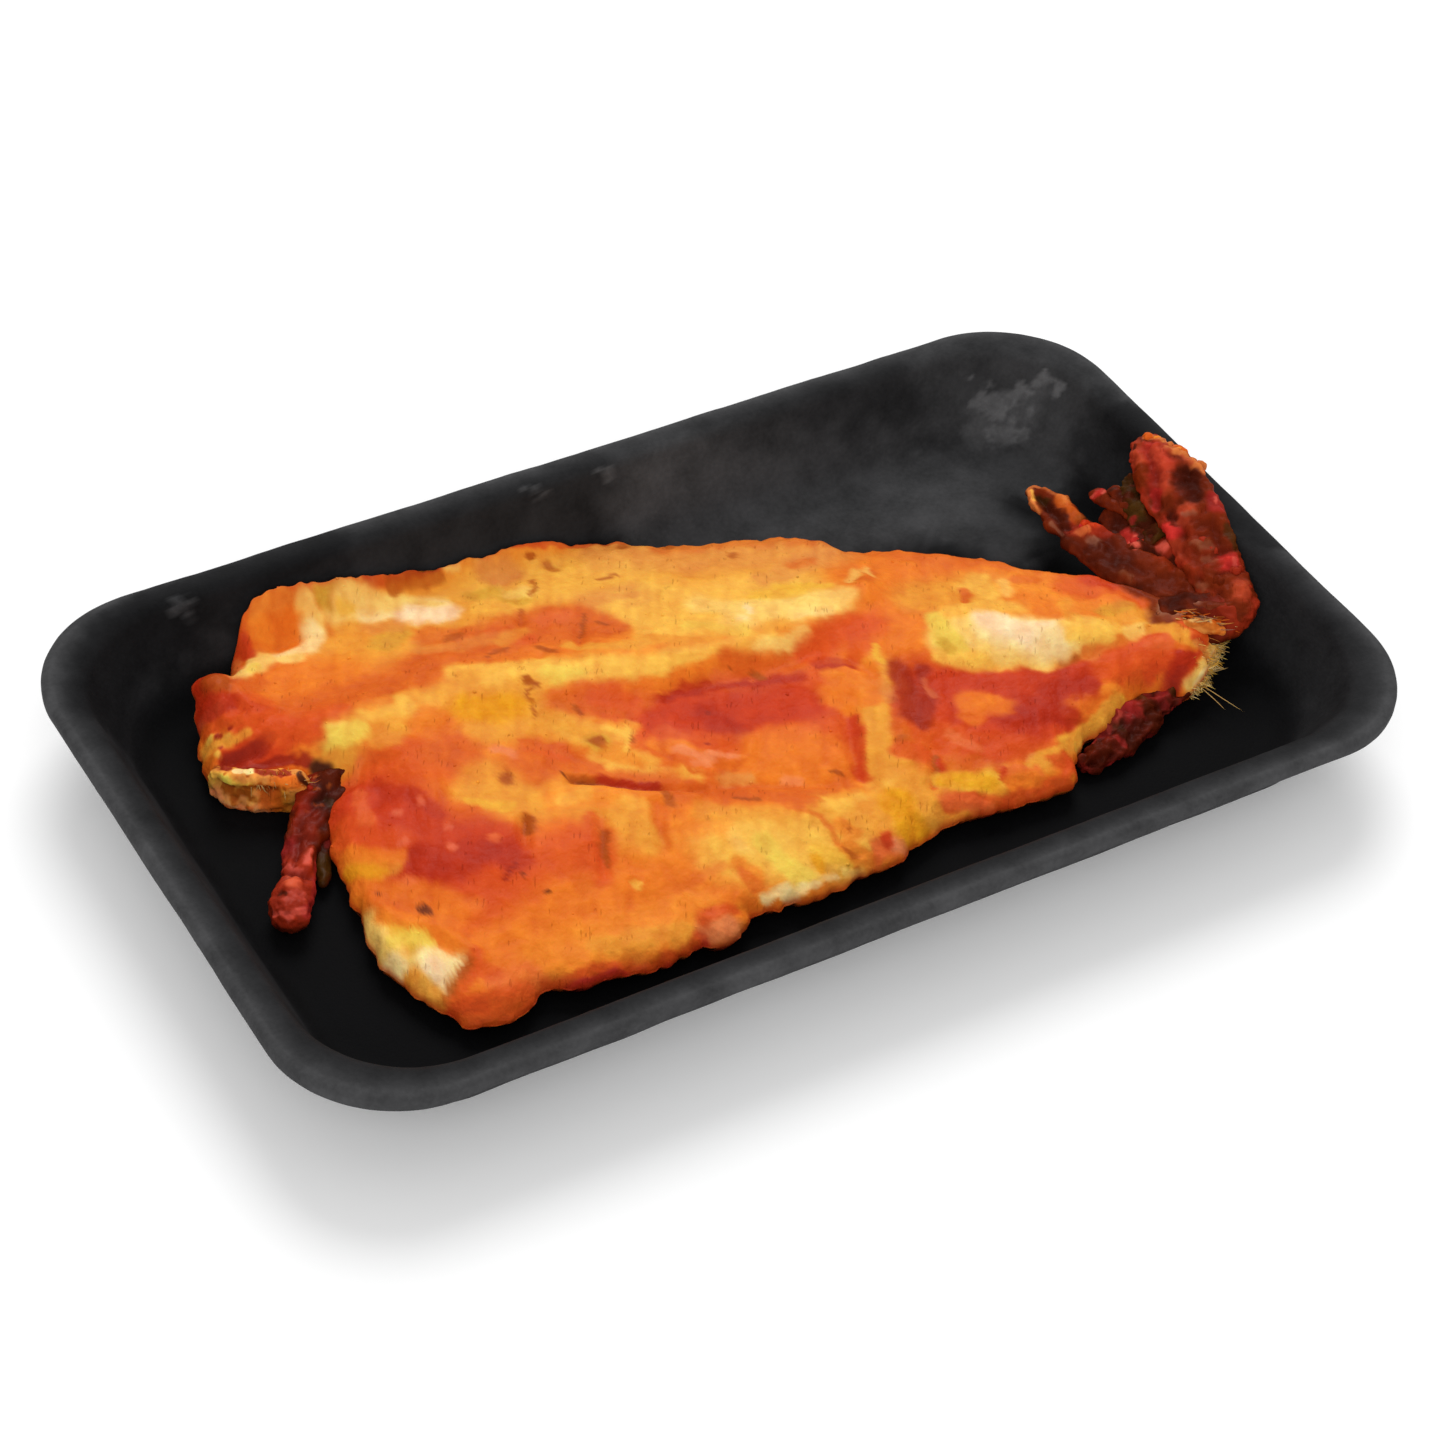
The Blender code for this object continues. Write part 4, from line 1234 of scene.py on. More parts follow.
@dataclass(frozen=True)
class HakeBody:
    """The opened body: a height over its plan, from a ragged outline in to the midline."""

    tray: FoamTray
    far_edge: Course = places("""
        -62,58.9 -58,58.7 -54.3,58.4 -50.6,57.9 -47,57.8 -43.4,57.7 -39.7,57.3 -35.9,57 -31.5,56.6
        -24.9,56.5 -20,56.2 -13.9,56.1 -10.2,56 -6.5,55.6 -2.9,54.8 .8,54.1 4.5,53.3 8.4,52.1 11.9,49.7
        15.7,48.3 19.2,46.4 22.8,44.9 26.7,44.1 30.2,42.5 33.8,41 37.5,39.4 40.9,36.8 43,32.8 46.8,29.5
        52,27.4 56.3,24.1 60.6,20.6 64.7,17.5 68.1,13.9 71.2,9.9 74.4,6.9 77.8,3.5 81.7,.3 84,-2.5
        """)
    tail_end: Course = places("87.9,-9.3 91.8,-14.2 95.4,-19 95.4,-23.4 90.8,-27.4")
    near_edge: Course = places("""
        84,-31.4 80.8,-33.2 77.6,-31.6 74.8,-29.2 68,-30.2 62,-32.4 55.5,-35 51.2,-37.8 49,-40.8
        45.5,-42.3 42.5,-42.6 38.4,-41.4 34.4,-41.3 31.7,-40.6 26.1,-40.7 23.3,-40 17.7,-40.8 12.4,-42
        9.7,-43.9 6.7,-44 3.8,-43.7 1.3,-44.2 -4.2,-44.8 -7.1,-45 -12.6,-44.3 -18,-44 -21.4,-44
        -23.9,-45.6 -26,-48 -29,-48.2 -31.6,-45.8 -34.6,-47 -40.2,-46.9 -43,-47 -45.6,-45.8 -48.4,-45.2
        -54.1,-45.6 -57,-44.2 -61,-42.5 -65,-45
        """)
    head_end: Course = places("""
        -61,-42.5 -65,-45 -68.8,-46.2 -72.9,-45.4 -76.2,-42.7 -78.6,-37.4 -80.6,-31.8 -82.8,-26.8
        -82.3,-19 -80.3,-9 -78.6,1 -76.4,8 -72,16.6 -75.8,19.2 -79.5,20.6 -83,22.4 -86.5,24.5 -89.4,27.4
        -90,31.2 -88,37.6 -85.6,43.2 -82.6,48.2 -79.6,49.8 -77.2,49 -75.6,50.2 -74.6,52.2 -72.4,54.8
        -69.3,57.7 -64.5,58.9
        """)
    head_breaks: tuple[int, int, int] = (13, 18, 23)
    head_counts: tuple[int, int, int, int] = (84, 56, 40, 56)
    spine: Course = places("-58,12 -69,24 -78,35")
    cut_edge: Course = places("-72,16.6 -79.5,20.6 -86.5,24.6 -89.2,27.6")
    cut_rounding: float = 1.2
    midline: Course = places("-58,12 -20,5 20,-4 60,-12 84,-16.5")
    side_points: int = 310
    tail_points: int = 70
    edge_rings: int = 14
    inner_rings: int = 62
    under_rings: int = 12
    edge_rounding: float = 5.0
    near_growth: float = 1.3
    fray_at_wall: float = 0.3
    edge_zones: Course = ((1, 51.0, 4.0), (1, -24.0, 14.0), (0, 86.0, 60.0))
    edge_band: float = 0.09
    fray_reach: float = 2.5
    rim_width: float = 1.2
    rim_height: float = 3.0
    # share of red laid on the steep outer edge as painted shade
    rim_shade: float = 0.6
    fray: Layers = ((Grain(7.0, 3, 1), 0.5), (Grain(2.6, 5, 2), 0.6), (Grain(1.1, 7, 1), 0.25))
    lumps: Layers = ((Grain(6.5, 21, 2), 0.28), (Grain(2.3, 23, 2), 0.13))
    wander_x: Layers = ((Grain(4.2, 61, 2), 0.75), (Grain(1.3, 63, 2), 0.3))
    wander_y: Layers = ((Grain(4.2, 67, 2), 0.75), (Grain(1.3, 69, 2), 0.3))
    gap: float = 0.3
    thickness_x: tuple[float, ...] = (-84.0, -60.0, -20.0, 20.0, 55.0, 80.0, 98.0)
    far_thickness: tuple[float, ...] = (5.0, 4.8, 5.0, 5.0, 6.5, 8.5, 8.0)
    mid_thickness: tuple[float, ...] = (9.0, 10.0, 9.6, 9.4, 9.8, 9.0, 8.0)
    near_thickness: tuple[float, ...] = (5.5, 6.0, 6.2, 6.0, 6.0, 6.5, 7.0)
    tail_lift: Triple = (3.0, 74.0, 97.0)
    collar_lift: Fold = Fold(4.8, 8.0, ((-84.0, 47.0),))
    flake_step: float = 5.6
    flake_lean: tuple[float, float] = (0.87, -0.5)
    flake_width: float = 0.75
    flake_depth: float = 0.1
    fibre_height: float = 0.07
    blister_height: float = 0.22
    # tints of the painted highlight on raised relief and of the painted shade in the flakes' furrows
    rise_tint: Triple = (0.04, 0.09, 0.1)
    furrow_shade_tint: Triple = (0.02, 0.06, 0.08)
    swells: tuple[Fold, ...] = folds_in("""
        2.2 8 -66,24 -40,24.5 -20,18.5 4,15.5 36,14
        .7 9 -50,40 -10,37 20,29
        1.1 9 -55,-18 -25,-24 0,-31
        1.1 6 34,2 27,-10 21,-20 17,-31
        1.6 7 47,2 60,-4 72,-14
        .9 5 60,-27 78,-23 90,-20
        -1.1 4.4 -35,4 -30,-4 -16,-15 -2,-22 12,-29
        -.9 7 -12,4 4,-3 14,-8
        -1 6 34,-12 48,-20 60,-23
        -.9 5 -72,20 -66,8
        """)
    creases: tuple[Fold, ...] = folds_in("""
        -1.3 1.1 -35,-5.8 -30,-8.4 -25,-12.8 -20,-15.4 -15,-17.4
        -.6 1.3 -12,-18 -4,-22 6,-26
        .7 2.2 -34,-9.5 -27,-14.5 -18,-19
        -.8 1.2 -35,-16 -38.5,-23 -41,-28
        -.6 1.2 -25,-18 -28,-25 -29,-28.5
        -.8 1.6 26,-1 27,-6.5
        -.9 1.6 18,-13 14.5,-20 12,-27
        -.7 1.4 28,-26 25.5,-31 23,-34
        .9 2.6 -2,12 10,10 20,9 32,10.5 38,15
        -.9 2.2 -8,6.5 2,5 12,3.5 22,4
        1.3 4.5 46,-5 57,-9 68,-16
        -.8 1.8 46,-13.5 58,-18 70,-20.5 80,-20
        -.6 1.6 53,3 55,6.5
        -.7 1.8 82,-4 84,-12 82,-18
        .6 1 -10,-11 -8,-14 -4,-14.5 -1.5,-11.5
        -.5 1.5 -6,-11
        .5 .9 -37,-31 -35.5,-32.5 -36.5,-34
        -.8 1 -47.5,-11 -49,-13.5 -50.5,-17
        -.5 .8 -22,38 -24,34.5
        -.5 .8 -13.5,30.5 -18,23.5
        -.5 .8 -16,46 -17.5,42.5
        -.7 1.2 -25.5,24.5
        -.5 .9 -31.5,18.5 -33.5,14
        -.5 1.2 42,22 37,17
        .8 1.6 -79,-14 -77,-22 -72.5,-25 -70,-31 -69,-36
        -.8 1.1 -71.5,-34.5 -77,-38.5
        .8 2.6 -76,-32
        .6 2.2 -81,-22 -81.5,-27
        1 3 -62,48 -57.5,51.5 -56,55
        .8 2.6 -76,45 -69,50
        -.9 1.8 -66,51.8 -60,52.8
        .8 3 -49,53.5 -38,50 -34,48
        .5 3.2 -69,56 -62,55.5
        1 1.3 -86.4,34.4
        .9 1.1 -84,32.4
        .8 1.2 -83.4,35.6
        .9 1.2 -87,30.8
        -.9 1 -86.6,28.4 -82.4,27.4 -78,28
        .7 .9 -87,26.2 -82,23.6 -77,21.4
        1.4 5 -80,42 -79,34
        -.8 1.2 -78,44.6 -80.4,40 -80,36
        -.6 1 -74,33 -79,31
        """)
    strokes: tuple[Stroke, ...] = strokes_in(BODY_STROKES)

    def outline(self) -> tuple[Array, Array]:
        """The outline's points and, for each, the midline point that its row runs to.

        Returns:
            Two arrays of X and Y. The outline goes from the far edge round the tail, back
            along the near edge and round the head end.
        """
        first = self.midline[0][0]
        last = self.midline[-1][0]
        stations = np.linspace(first, last, self.side_points)
        far = np.column_stack([stations, height_along(self.far_edge, stations)])
        near = np.column_stack([stations, height_along(self.near_edge, stations)])[::-1]
        middle = np.column_stack([stations, height_along(self.midline, stations)])
        tail = smooth_curve((tuple(far[-1]), *self.tail_end, tuple(near[0])), SPAN)
        tail = at_lengths(tail, np.linspace(0.0, 1.0, self.tail_points + 2)[1:-1], 2)
        head, head_targets = self.round_head(tuple(near[-1]), tuple(far[0]))
        plan = np.vstack([far, tail, near, head])
        tail_targets = np.repeat(middle[-1:], len(tail), axis=0)
        return plan, np.vstack([middle, tail_targets, middle[::-1], head_targets])

    def round_head(self, first: tuple[float, float], last: tuple[float, float]) -> tuple[Array, Array]:
        """The outline from the near edge round the head end to the far edge, and its targets:
        they stay at the midline's start, walk out along the collar's spine, stay there, and
        walk back over the same points.

        Args:
            first: the near edge's last point.
            last: the far edge's first point.

        Returns:
            Two arrays of X and Y, without the first and last points themselves.
        """
        curve = smooth_curve((first, *self.head_end, last), SPAN)
        ends = [0, *(SPAN * point for point in self.head_breaks), len(curve) - 1]
        parts = [at_lengths(curve[a:b + 1], np.linspace(0.0, 1.0, count, endpoint=False), 2)
                 for a, b, count in zip(ends, ends[1:], self.head_counts)]
        stay, walk, wait, back = (np.linspace(a, b, count, endpoint=False) for a, b, count in
                                  zip((0.0, 0.0, 1.0, 1.0), (0.0, 1.0, 1.0, 0.0), self.head_counts))
        shares = np.concatenate([stay, walk, wait, back])
        return np.vstack(parts)[1:], at_lengths(smooth_curve(self.spine, SPAN), shares, 2)[1:]

    def ragged(self, plan: Array) -> Array:
        """The outline with a crust's uneven edge: each point moves along the outline's normal
        by a slow, a middling and a fine grain, and less where it leans on the wall."""
        ahead = np.roll(plan, -1, axis=0) - np.roll(plan, 1, axis=0)
        normal = np.column_stack([ahead[:, 1], -ahead[:, 0]]) / np.linalg.norm(ahead, axis=1)[:, None]
        off_wall, near_side, off_tail = (
            smooth_step((start - plan[:, axis]) / width) for axis, start, width in self.edge_zones)
        fray = layered(plan, self.fray) * blend(self.fray_at_wall, 1.0, off_wall)
        return -normal * (fray + self.near_growth * near_side * off_tail)[:, None]

    def thickness(self, x: Array, y: Array, share: Array) -> Array:
        """Thickness: a quarter of a sine from the edge's value to the midline's."""
        far = np.interp(x, self.thickness_x, self.far_thickness)
        near = np.interp(x, self.thickness_x, self.near_thickness)
        edge = np.where(y > height_along(self.midline, x), far, near)
        middle = np.interp(x, self.thickness_x, self.mid_thickness)
        return edge + (middle - edge) * np.sin(share * math.pi / 2.0)

    def underside(self, x: Array, y: Array) -> Array:
        """Height of the underside: on the tray, and lifted towards the tail."""
        height, start, end = self.tail_lift
        lift = height * smooth_step((x - start) / (end - start)) + self.collar_lift.at(x, y)
        return self.tray.surface(x, y) + self.gap + lift

    def flakes(self, x: Array, y: Array) -> Array:
        """Furrows between the flesh's flakes, as slanting lines a step apart that come and
        go with a slow grain: a narrow bell at each line."""
        plan = np.column_stack([x, y])
        across = x * self.flake_lean[0] + y * self.flake_lean[1] + Grain(9.0, 11, 2).at(plan) * 1.6
        offset = (across / self.flake_step + 0.5) % 1.0 - 0.5
        shown = smooth_step(Grain(12.0, 13, 2).at(plan) * 1.2 + 0.45)
        return np.exp(-(offset * self.flake_step / self.flake_width) ** 2) * shown

    def fibres(self, x: Array, y: Array) -> Array:
        """Fine streaks along the flakes: a grain stretched five times in their direction."""
        along = x * -self.flake_lean[1] + y * self.flake_lean[0]
        across = x * self.flake_lean[0] + y * self.flake_lean[1]
        return Grain(1.15, 19, 2).at(np.column_stack([across, along / 5.0]))

    def relief(self, x: Array, y: Array) -> Array:
        """Height added to the top: swells, creases, flakes, blisters and grain together."""
        total = np.zeros(len(x))
        for item in self.swells + self.creases:
            total += item.at(x, y)
        plan = np.column_stack([x, y])
        blisters = Blisters(3.4, 51).at(plan) * smooth_step(Grain(16.0, 53, 1).at(plan) + 0.35)
        total += layered(plan, self.lumps)
        total += self.fibres(x, y) * self.fibre_height + blisters * self.blister_height
        return total - self.flakes(x, y) * self.flake_depth

    def colour(self, x: Array, y: Array) -> Array:
        """Paint on the top: the strokes, their edges pushed about by a grain, then flakes, fibres, lumps
        and small blisters that darken or lighten it: painted shade in the flakes' furrows and painted
        highlight where the relief's fibres and lumps rise."""
        plan = np.column_stack([x, y])
        colour = np.tile(Tone.ORANGE.display(), (len(x), 1))
        colour = painted(colour, x + layered(plan, self.wander_x), y + layered(plan, self.wander_y),
                         self.strokes)
        rise = (self.fibres(x, y) + Grain(2.3, 23, 2).at(plan) + Blisters(2.4, 57).at(plan)) * 0.5 - 0.2
        # painted highlight where the relief's fibres and lumps rise, painted shade in the flakes' furrows
        colour *= 1.0 + rise[:, None] * self.rise_tint
        return colour * (1.0 - self.flakes(x, y)[:, None] * self.furrow_shade_tint)

    def build(self, material: Material) -> tuple[Piece, Array, Array]:
        """Makes the body.

        Args:
            material: the fried finish.

        Returns:
            The object, the points of its top and their colours.
        """
        plan, targets = self.outline()
        frayed = self.ragged(plan)
        reach = np.linalg.norm(targets - plan, axis=1)
        at_edge = np.linspace(0.0, 1.0, self.edge_rings, endpoint=False) ** 1.6 * self.edge_band
        top_shares = np.concatenate([at_edge, np.linspace(self.edge_band, 1.0, self.inner_rings)])
        under_shares = np.linspace(0.0, 1.0, self.under_rings) ** 1.7
        parts = []
        for shares in (top_shares, under_shares):
            rows = plan + (targets - plan) * shares[:, None, None]
            inward = shares[:, None] * reach
            rows = rows + frayed * np.exp(-inward / self.fray_reach)[..., None]
            parts.append((rows.reshape(-1, 2), np.repeat(shares, len(plan)), inward.ravel()))
        heights = [self.heights(*part) for part in parts]
        top = np.column_stack([parts[0][0], heights[0][1]])
        under = np.column_stack([parts[1][0], heights[1][0]])[::-1]
        rows = len(top_shares) + len(under_shares)
        points = np.vstack([under, top])
        count = len(plan)
        order = np.concatenate([np.arange(len(under)).reshape(-1, count)[:, ::-1].ravel(),
                                np.arange(len(under), len(points))])
        points = points[order]
        colour_top = self.colour(top[:, 0], top[:, 1])
        # painted shade: the thin, steep outer edge within the rim width of the outline is painted towards
        # red
        thin = smooth_step(1.0 - (heights[0][1] - heights[0][0]) / self.rim_height)
        rim = self.rim_shade * thin * (parts[0][2] < self.rim_width)
        colour_top = blend(colour_top, Tone.RED.display(), rim[:, None])
        patches = smooth_step(Grain(5.0, 81, 3).at(points[:len(under)]))[:, None]
        colour_under = blend(Tone.BURNT.display(), Tone.DEEP_RED.display(), patches)
        colour = np.vstack([colour_under, colour_top])
        wet = self.oil(points, colour)
        piece = make_piece("hake_body", points, grid_faces(rows, count), colour, wet, material)
        return piece, top, colour_top

    def heights(self, plan: Array, share: Array, inward: Array) -> tuple[Array, Array]:
        """Heights of the underside and the top, with a round outer edge: the edge's half
        thickness grows as a quarter of a circle over the rounding."""
        x, y = plan.T
        half = self.thickness(x, y, share) / 2.0
        at_cut = np.exp(-(distance_to_course(x, y, self.cut_edge) / 3.0) ** 2)
        closeness = np.clip(inward / blend(self.edge_rounding, self.cut_rounding, at_cut), 0.0, 1.0)
        rounding = np.sqrt(1.0 - (1.0 - closeness) ** 2)
        underside = self.underside(x, y)
        relief = self.relief(x, y) * smooth_step(closeness * 1.6)
        relief += Grain(2.2, 29, 2).at(plan) * (1.0 - closeness) * 0.6
        return underside + half * (1.0 - rounding), underside + half * (1.0 + rounding) + relief

    @staticmethod
    def oil(points: Array, colour: Array) -> Array:
        """Oil gathers where the crust is red and dark: one less green over red."""
        redness = 1.0 - colour[:, 1] / np.maximum(colour[:, 0], 0.05)
        return np.clip(redness * 1.1 + Grain(4.0, 91, 2).at(points) * 0.22, 0.0, 1.0)


# ---- limbs

@dataclass(frozen=True)
class Limb:
    """A limb: a rounded section carried along a smooth course, with a crust's relief.

    Each station is a place of the course, the half-width and the half-thickness there. A
    place on the limb is told by two numbers in millimetres: how far along the course, and
    how far round from its upper side, positive towards `across`.
    """

    name: str
    stations: Course
    across: Triple
    base: Tone
    mixed_in: Tone
    strokes: tuple[Stroke, ...] = ()
    folds: tuple[Fold, ...] = ()
    squareness: float = 2.0
    facing: Triple = (0.0, 0.0, 1.0)
    ribs: int = 0
    rib_height: float = 0.0
    rough: float = 0.3
    lumps: float = 0.3
    wetness: float = 0.5
    seed: int = 100
    rings: int = 170
    sides: int = 96
    # tint of the painted highlight and shade that follow the relief
    rise_tint: Triple = (0.2, 0.3, 0.28)
    crowding: float = 0.86
    cap_length: float = 1.1

    def skeleton(self) -> tuple[Array, Array, Array, Array, Array]:
        """The course's points, half-widths, half-thicknesses and two directions of section.

        Rings crowd towards both ends, where the section shrinks as a quarter circle does.
        """
        u = np.linspace(0.0, 1.0, self.rings)
        shares = u - self.crowding * np.sin(FULL_TURN * u) / FULL_TURN
        rows = at_lengths(smooth_curve(self.stations, SPAN), shares, 3)
        centre = rows[:, :3]
        along = unit(np.gradient(centre, axis=0))
        across = unit(np.array(self.across) - along * (along @ np.array(self.across))[:, None])
        upward = np.cross(along, across)
        upward *= np.sign((upward @ np.array(self.facing)).sum())
        run = lengths_along(centre)
        cap = rows[:, 4] * self.cap_length
        ends = np.clip(np.minimum(run, run[-1] - run) / cap, 0.0, 1.0)
        close = np.sqrt(1.0 - (1.0 - ends) ** 2)
        return centre, rows[:, 3] * close, rows[:, 4] * close, across, upward

    def build(self, material: Material) -> Piece:
        """Makes the limb: the section is a rounded box whose corners are set by squareness, and ribs, folds
        and grain push it along its normal. Its paint is paler where the surface is pushed out and darker
        where it is pushed in, as painted highlight and painted shade."""
        centre, widths, depths, across, upward = self.skeleton()
        angle = np.linspace(-math.pi, math.pi, self.sides, endpoint=False)
        power = 2.0 / self.squareness
        side = np.sign(np.sin(angle)) * np.abs(np.sin(angle)) ** power
        rise = np.sign(np.cos(angle)) * np.abs(np.cos(angle)) ** power
        grid = (centre[:, None] + across[:, None] * (widths[:, None] * side)[..., None]
                + upward[:, None] * (depths[:, None] * rise)[..., None])
        normal = outward_normals(grid)
        out = grid - centre[:, None]
        normal *= np.sign((normal * out).sum(axis=(1, 2)).sum())
        girth = float(np.mean(widths + depths)) / 2.0
        s = np.repeat(lengths_along(centre), self.sides)
        t = np.tile(angle * girth, self.rings)
        points = grid.reshape(-1, 3)
        push = layered(points, ((Grain(3.4, self.seed, 2), self.lumps),
                                (Grain(1.2, self.seed + 3, 2), self.rough * 0.4)))
        if self.ribs:
            wander = Grain(8.0, self.seed + 5, 1).at(points) * 0.06
            ridge = np.cos((np.tile(side, self.rings) + wander) * math.pi * self.ribs)
            push += ridge * self.rib_height * np.tile(np.abs(np.cos(angle)), self.rings)
        for item in self.folds:
            push += item.at(s, t)
        close = np.repeat(np.clip(depths / np.max(depths) * 2.0, 0.0, 1.0), self.sides)
        shown = points + normal.reshape(-1, 3) * (push * close)[:, None]
        share = smooth_step(Grain(4.0, self.seed + 7, 3).at(points) * 0.9 + 0.5)[:, None]
        colour = blend(self.base.display(), self.mixed_in.display(), share)
        wander_s, wander_t = (Grain(1.6, self.seed + step, 2).at(points) * 0.5 for step in (11, 13))
        colour = painted(colour, s + wander_s, t + wander_t, self.strokes)
        # painted highlight and shade: paler where pushed out, darker where pushed in
        colour *= 1.0 + np.clip(push, -0.9, 0.7)[:, None] * self.rise_tint
        wet = np.clip(self.wetness + Grain(2.5, self.seed + 17, 2).at(points) * 0.3, 0.0, 1.0)
        return make_piece(self.name, shown, grid_faces(self.rings, self.sides), colour, wet, material)


@dataclass(frozen=True)
class HeadEnd:
    """The cut face of the collar, and the pectoral fin with the strand beside it."""

    limbs: tuple[Limb, ...] = (
        Limb("cut_face", places("""
            -90,28.2,8,2.8,1.3 -86.8,24.4,7.2,4.1,1.6 -82.8,21.6,6.9,4.4,1.7 -78.8,19.6,6.9,4.4,1.7
            -75,17.2,7.2,3.6,1.4"""),
             (0.0, 0.0, 1.0), Tone.GOLD, Tone.TAN,
             # the char mark at the far end is painted shade in the hollow by the fin's root
             # the cream line is a painted glint along the top edge
             strokes=strokes_in("""
            TAN 1.9 .8 2,2.4 16,2.4; BURNT .9 .55 6,1.8 15,1.6; PALE_GOLD 2.1 .9 .4,-.9 2.6,.6
            PALE_GOLD 1.5 .8 3.4,0 7.2,.3; CORAL 1.7 .9 2.4,-1.8 6.4,-1.8 10.8,-1.6
            RED_ORANGE .7 .6 at 4.6,-1.6 8.6,-1 6.6,-2.2; PALE_GOLD .8 .7 3.4,1.7 5.2,1.1
            TAN 1.1 .95 6.6,2.2 11.2,2.2; BURNT 1.2 .8 10.8,.2 12.6,-.6; BURNT 1.4 .6 12.4,2 17.6,1.6
            BURNT .8 .45 13.4,2.8 17.2,2.2; BROWN 1.4 .55 13.4,-1.4 18,-1.4; TAN .9 .6 15.6,.2 19,0
            BROWN .35 .8 3,.2 5.6,.1 9.4,.6 12.6,.5; CHAR .7 .9 17,3.2 19,1.4; RED 1.2 .9 0,-4.4 11,-5.2
            MAROON .6 .9 .4,4.2 3.6,4.4
            BROWN .4 .7 at 3.6,2.6 7.4,2.8 9.6,1.6 11.6,3 14,.8 5.6,-.4 8,-.6
            CREAM .5 .95 4.8,3.6 6.4,3.9 7.8,3.7; MAROON .5 .8 8.8,3.8 15,3.4"""),
             folds=folds_in("""
            .8 1.3 3.8,1.6; .6 1.6 8.6,2; .6 1.4 5,-1.6; .5 1.3 8.6,-1.4; .4 1.4 12,1.8 15,1.6
            -.7 .5 2.6,.3 5.6,.1 9.4,.6 13,.5"""),
             facing=(-0.5, -0.87, 0.2), squareness=3.6, lumps=0.3, rough=0.7, wetness=0.5, seed=110,
             rings=200, sides=112),
        Limb("pectoral_fin", places("""
            -65,22.6,8,3.8,2.8 -70.8,17.6,7.2,4.4,2.9 -76.2,12.8,6.8,4.2,2.7 -81.2,7.2,6.4,3.5,2.4
            -86,.4,6.3,3,2.3 -90.4,-6.4,6.6,3.7,3 -93,-11,6.6,3.2,2.2"""),
             (0.78, -0.62, 0.0), Tone.FIN_BROWN, Tone.FIN_DARK,
             strokes=strokes_in("""
            FIN_DARK 4.4 .6 5,0 14,1; MAROON 1.4 .6 10,-2.6 17,-1.6; FIN_OLIVE .8 .8 13.4,1.4 14.8,1.9
            BROWN .4 .8 at 9.6,-1.4 11,.6 12.2,-.8 15.4,.4 17.4,-1; MAROON 2.2 .55 18,-.6 25,-.4
            WINE 2.2 .9 25.5,-3 29.8,-2.6; FIN_RED 4.8 .95 31.6,0 43,0
            WINE 1.1 .85 27,4.4 34,4 39,4 42,2.8; FIN_PINK .6 .7 26.6,1.4 30.6,1.6
            FIN_PINK .5 .75 30.8,-3.6 31.2,-1.4 32.2,.6; BLUSH 1.1 .55 34.4,-.2 36.8,.2
            FIN_PINK .9 .5 38.6,1.4 40,-.6; FIN_DARK .4 .8 38.4,-1.6 38.9,-1.2
            FIN_PINK .6 .7 41.4,-3 43.2,0 41.8,2.4"""),
             folds=folds_in("""
            .8 1.7 36.6,.2; -.9 .7 32.6,-3 33.2,0 33,2.6; .7 .7 26,1.6 31,1.8; -.6 .7 24,-.4 31,-.4
            -.7 .8 8,1.6 22,-1; .5 1.2 6,-2.6 16,-3; -.5 .6 38.4,-1.4"""),
             lumps=0.5, rough=0.8, wetness=0.9, seed=170),
        Limb("pectoral_strand", places("""
            -75,11.6,6.4,1.9,1.5 -78.4,5.6,5.6,1.8,1.3 -81,.4,5,1.4,1 -82.6,-3.2,4.9,.8,.7"""),
             (0.78, -0.62, 0.0), Tone.FIN_DARK, Tone.FIN_OLIVE,
             strokes=strokes_in("WINE .5 .6 4,.2 8,.4"),
             lumps=0.3, rough=0.5, wetness=0.8, seed=180, rings=80, sides=40),
    )


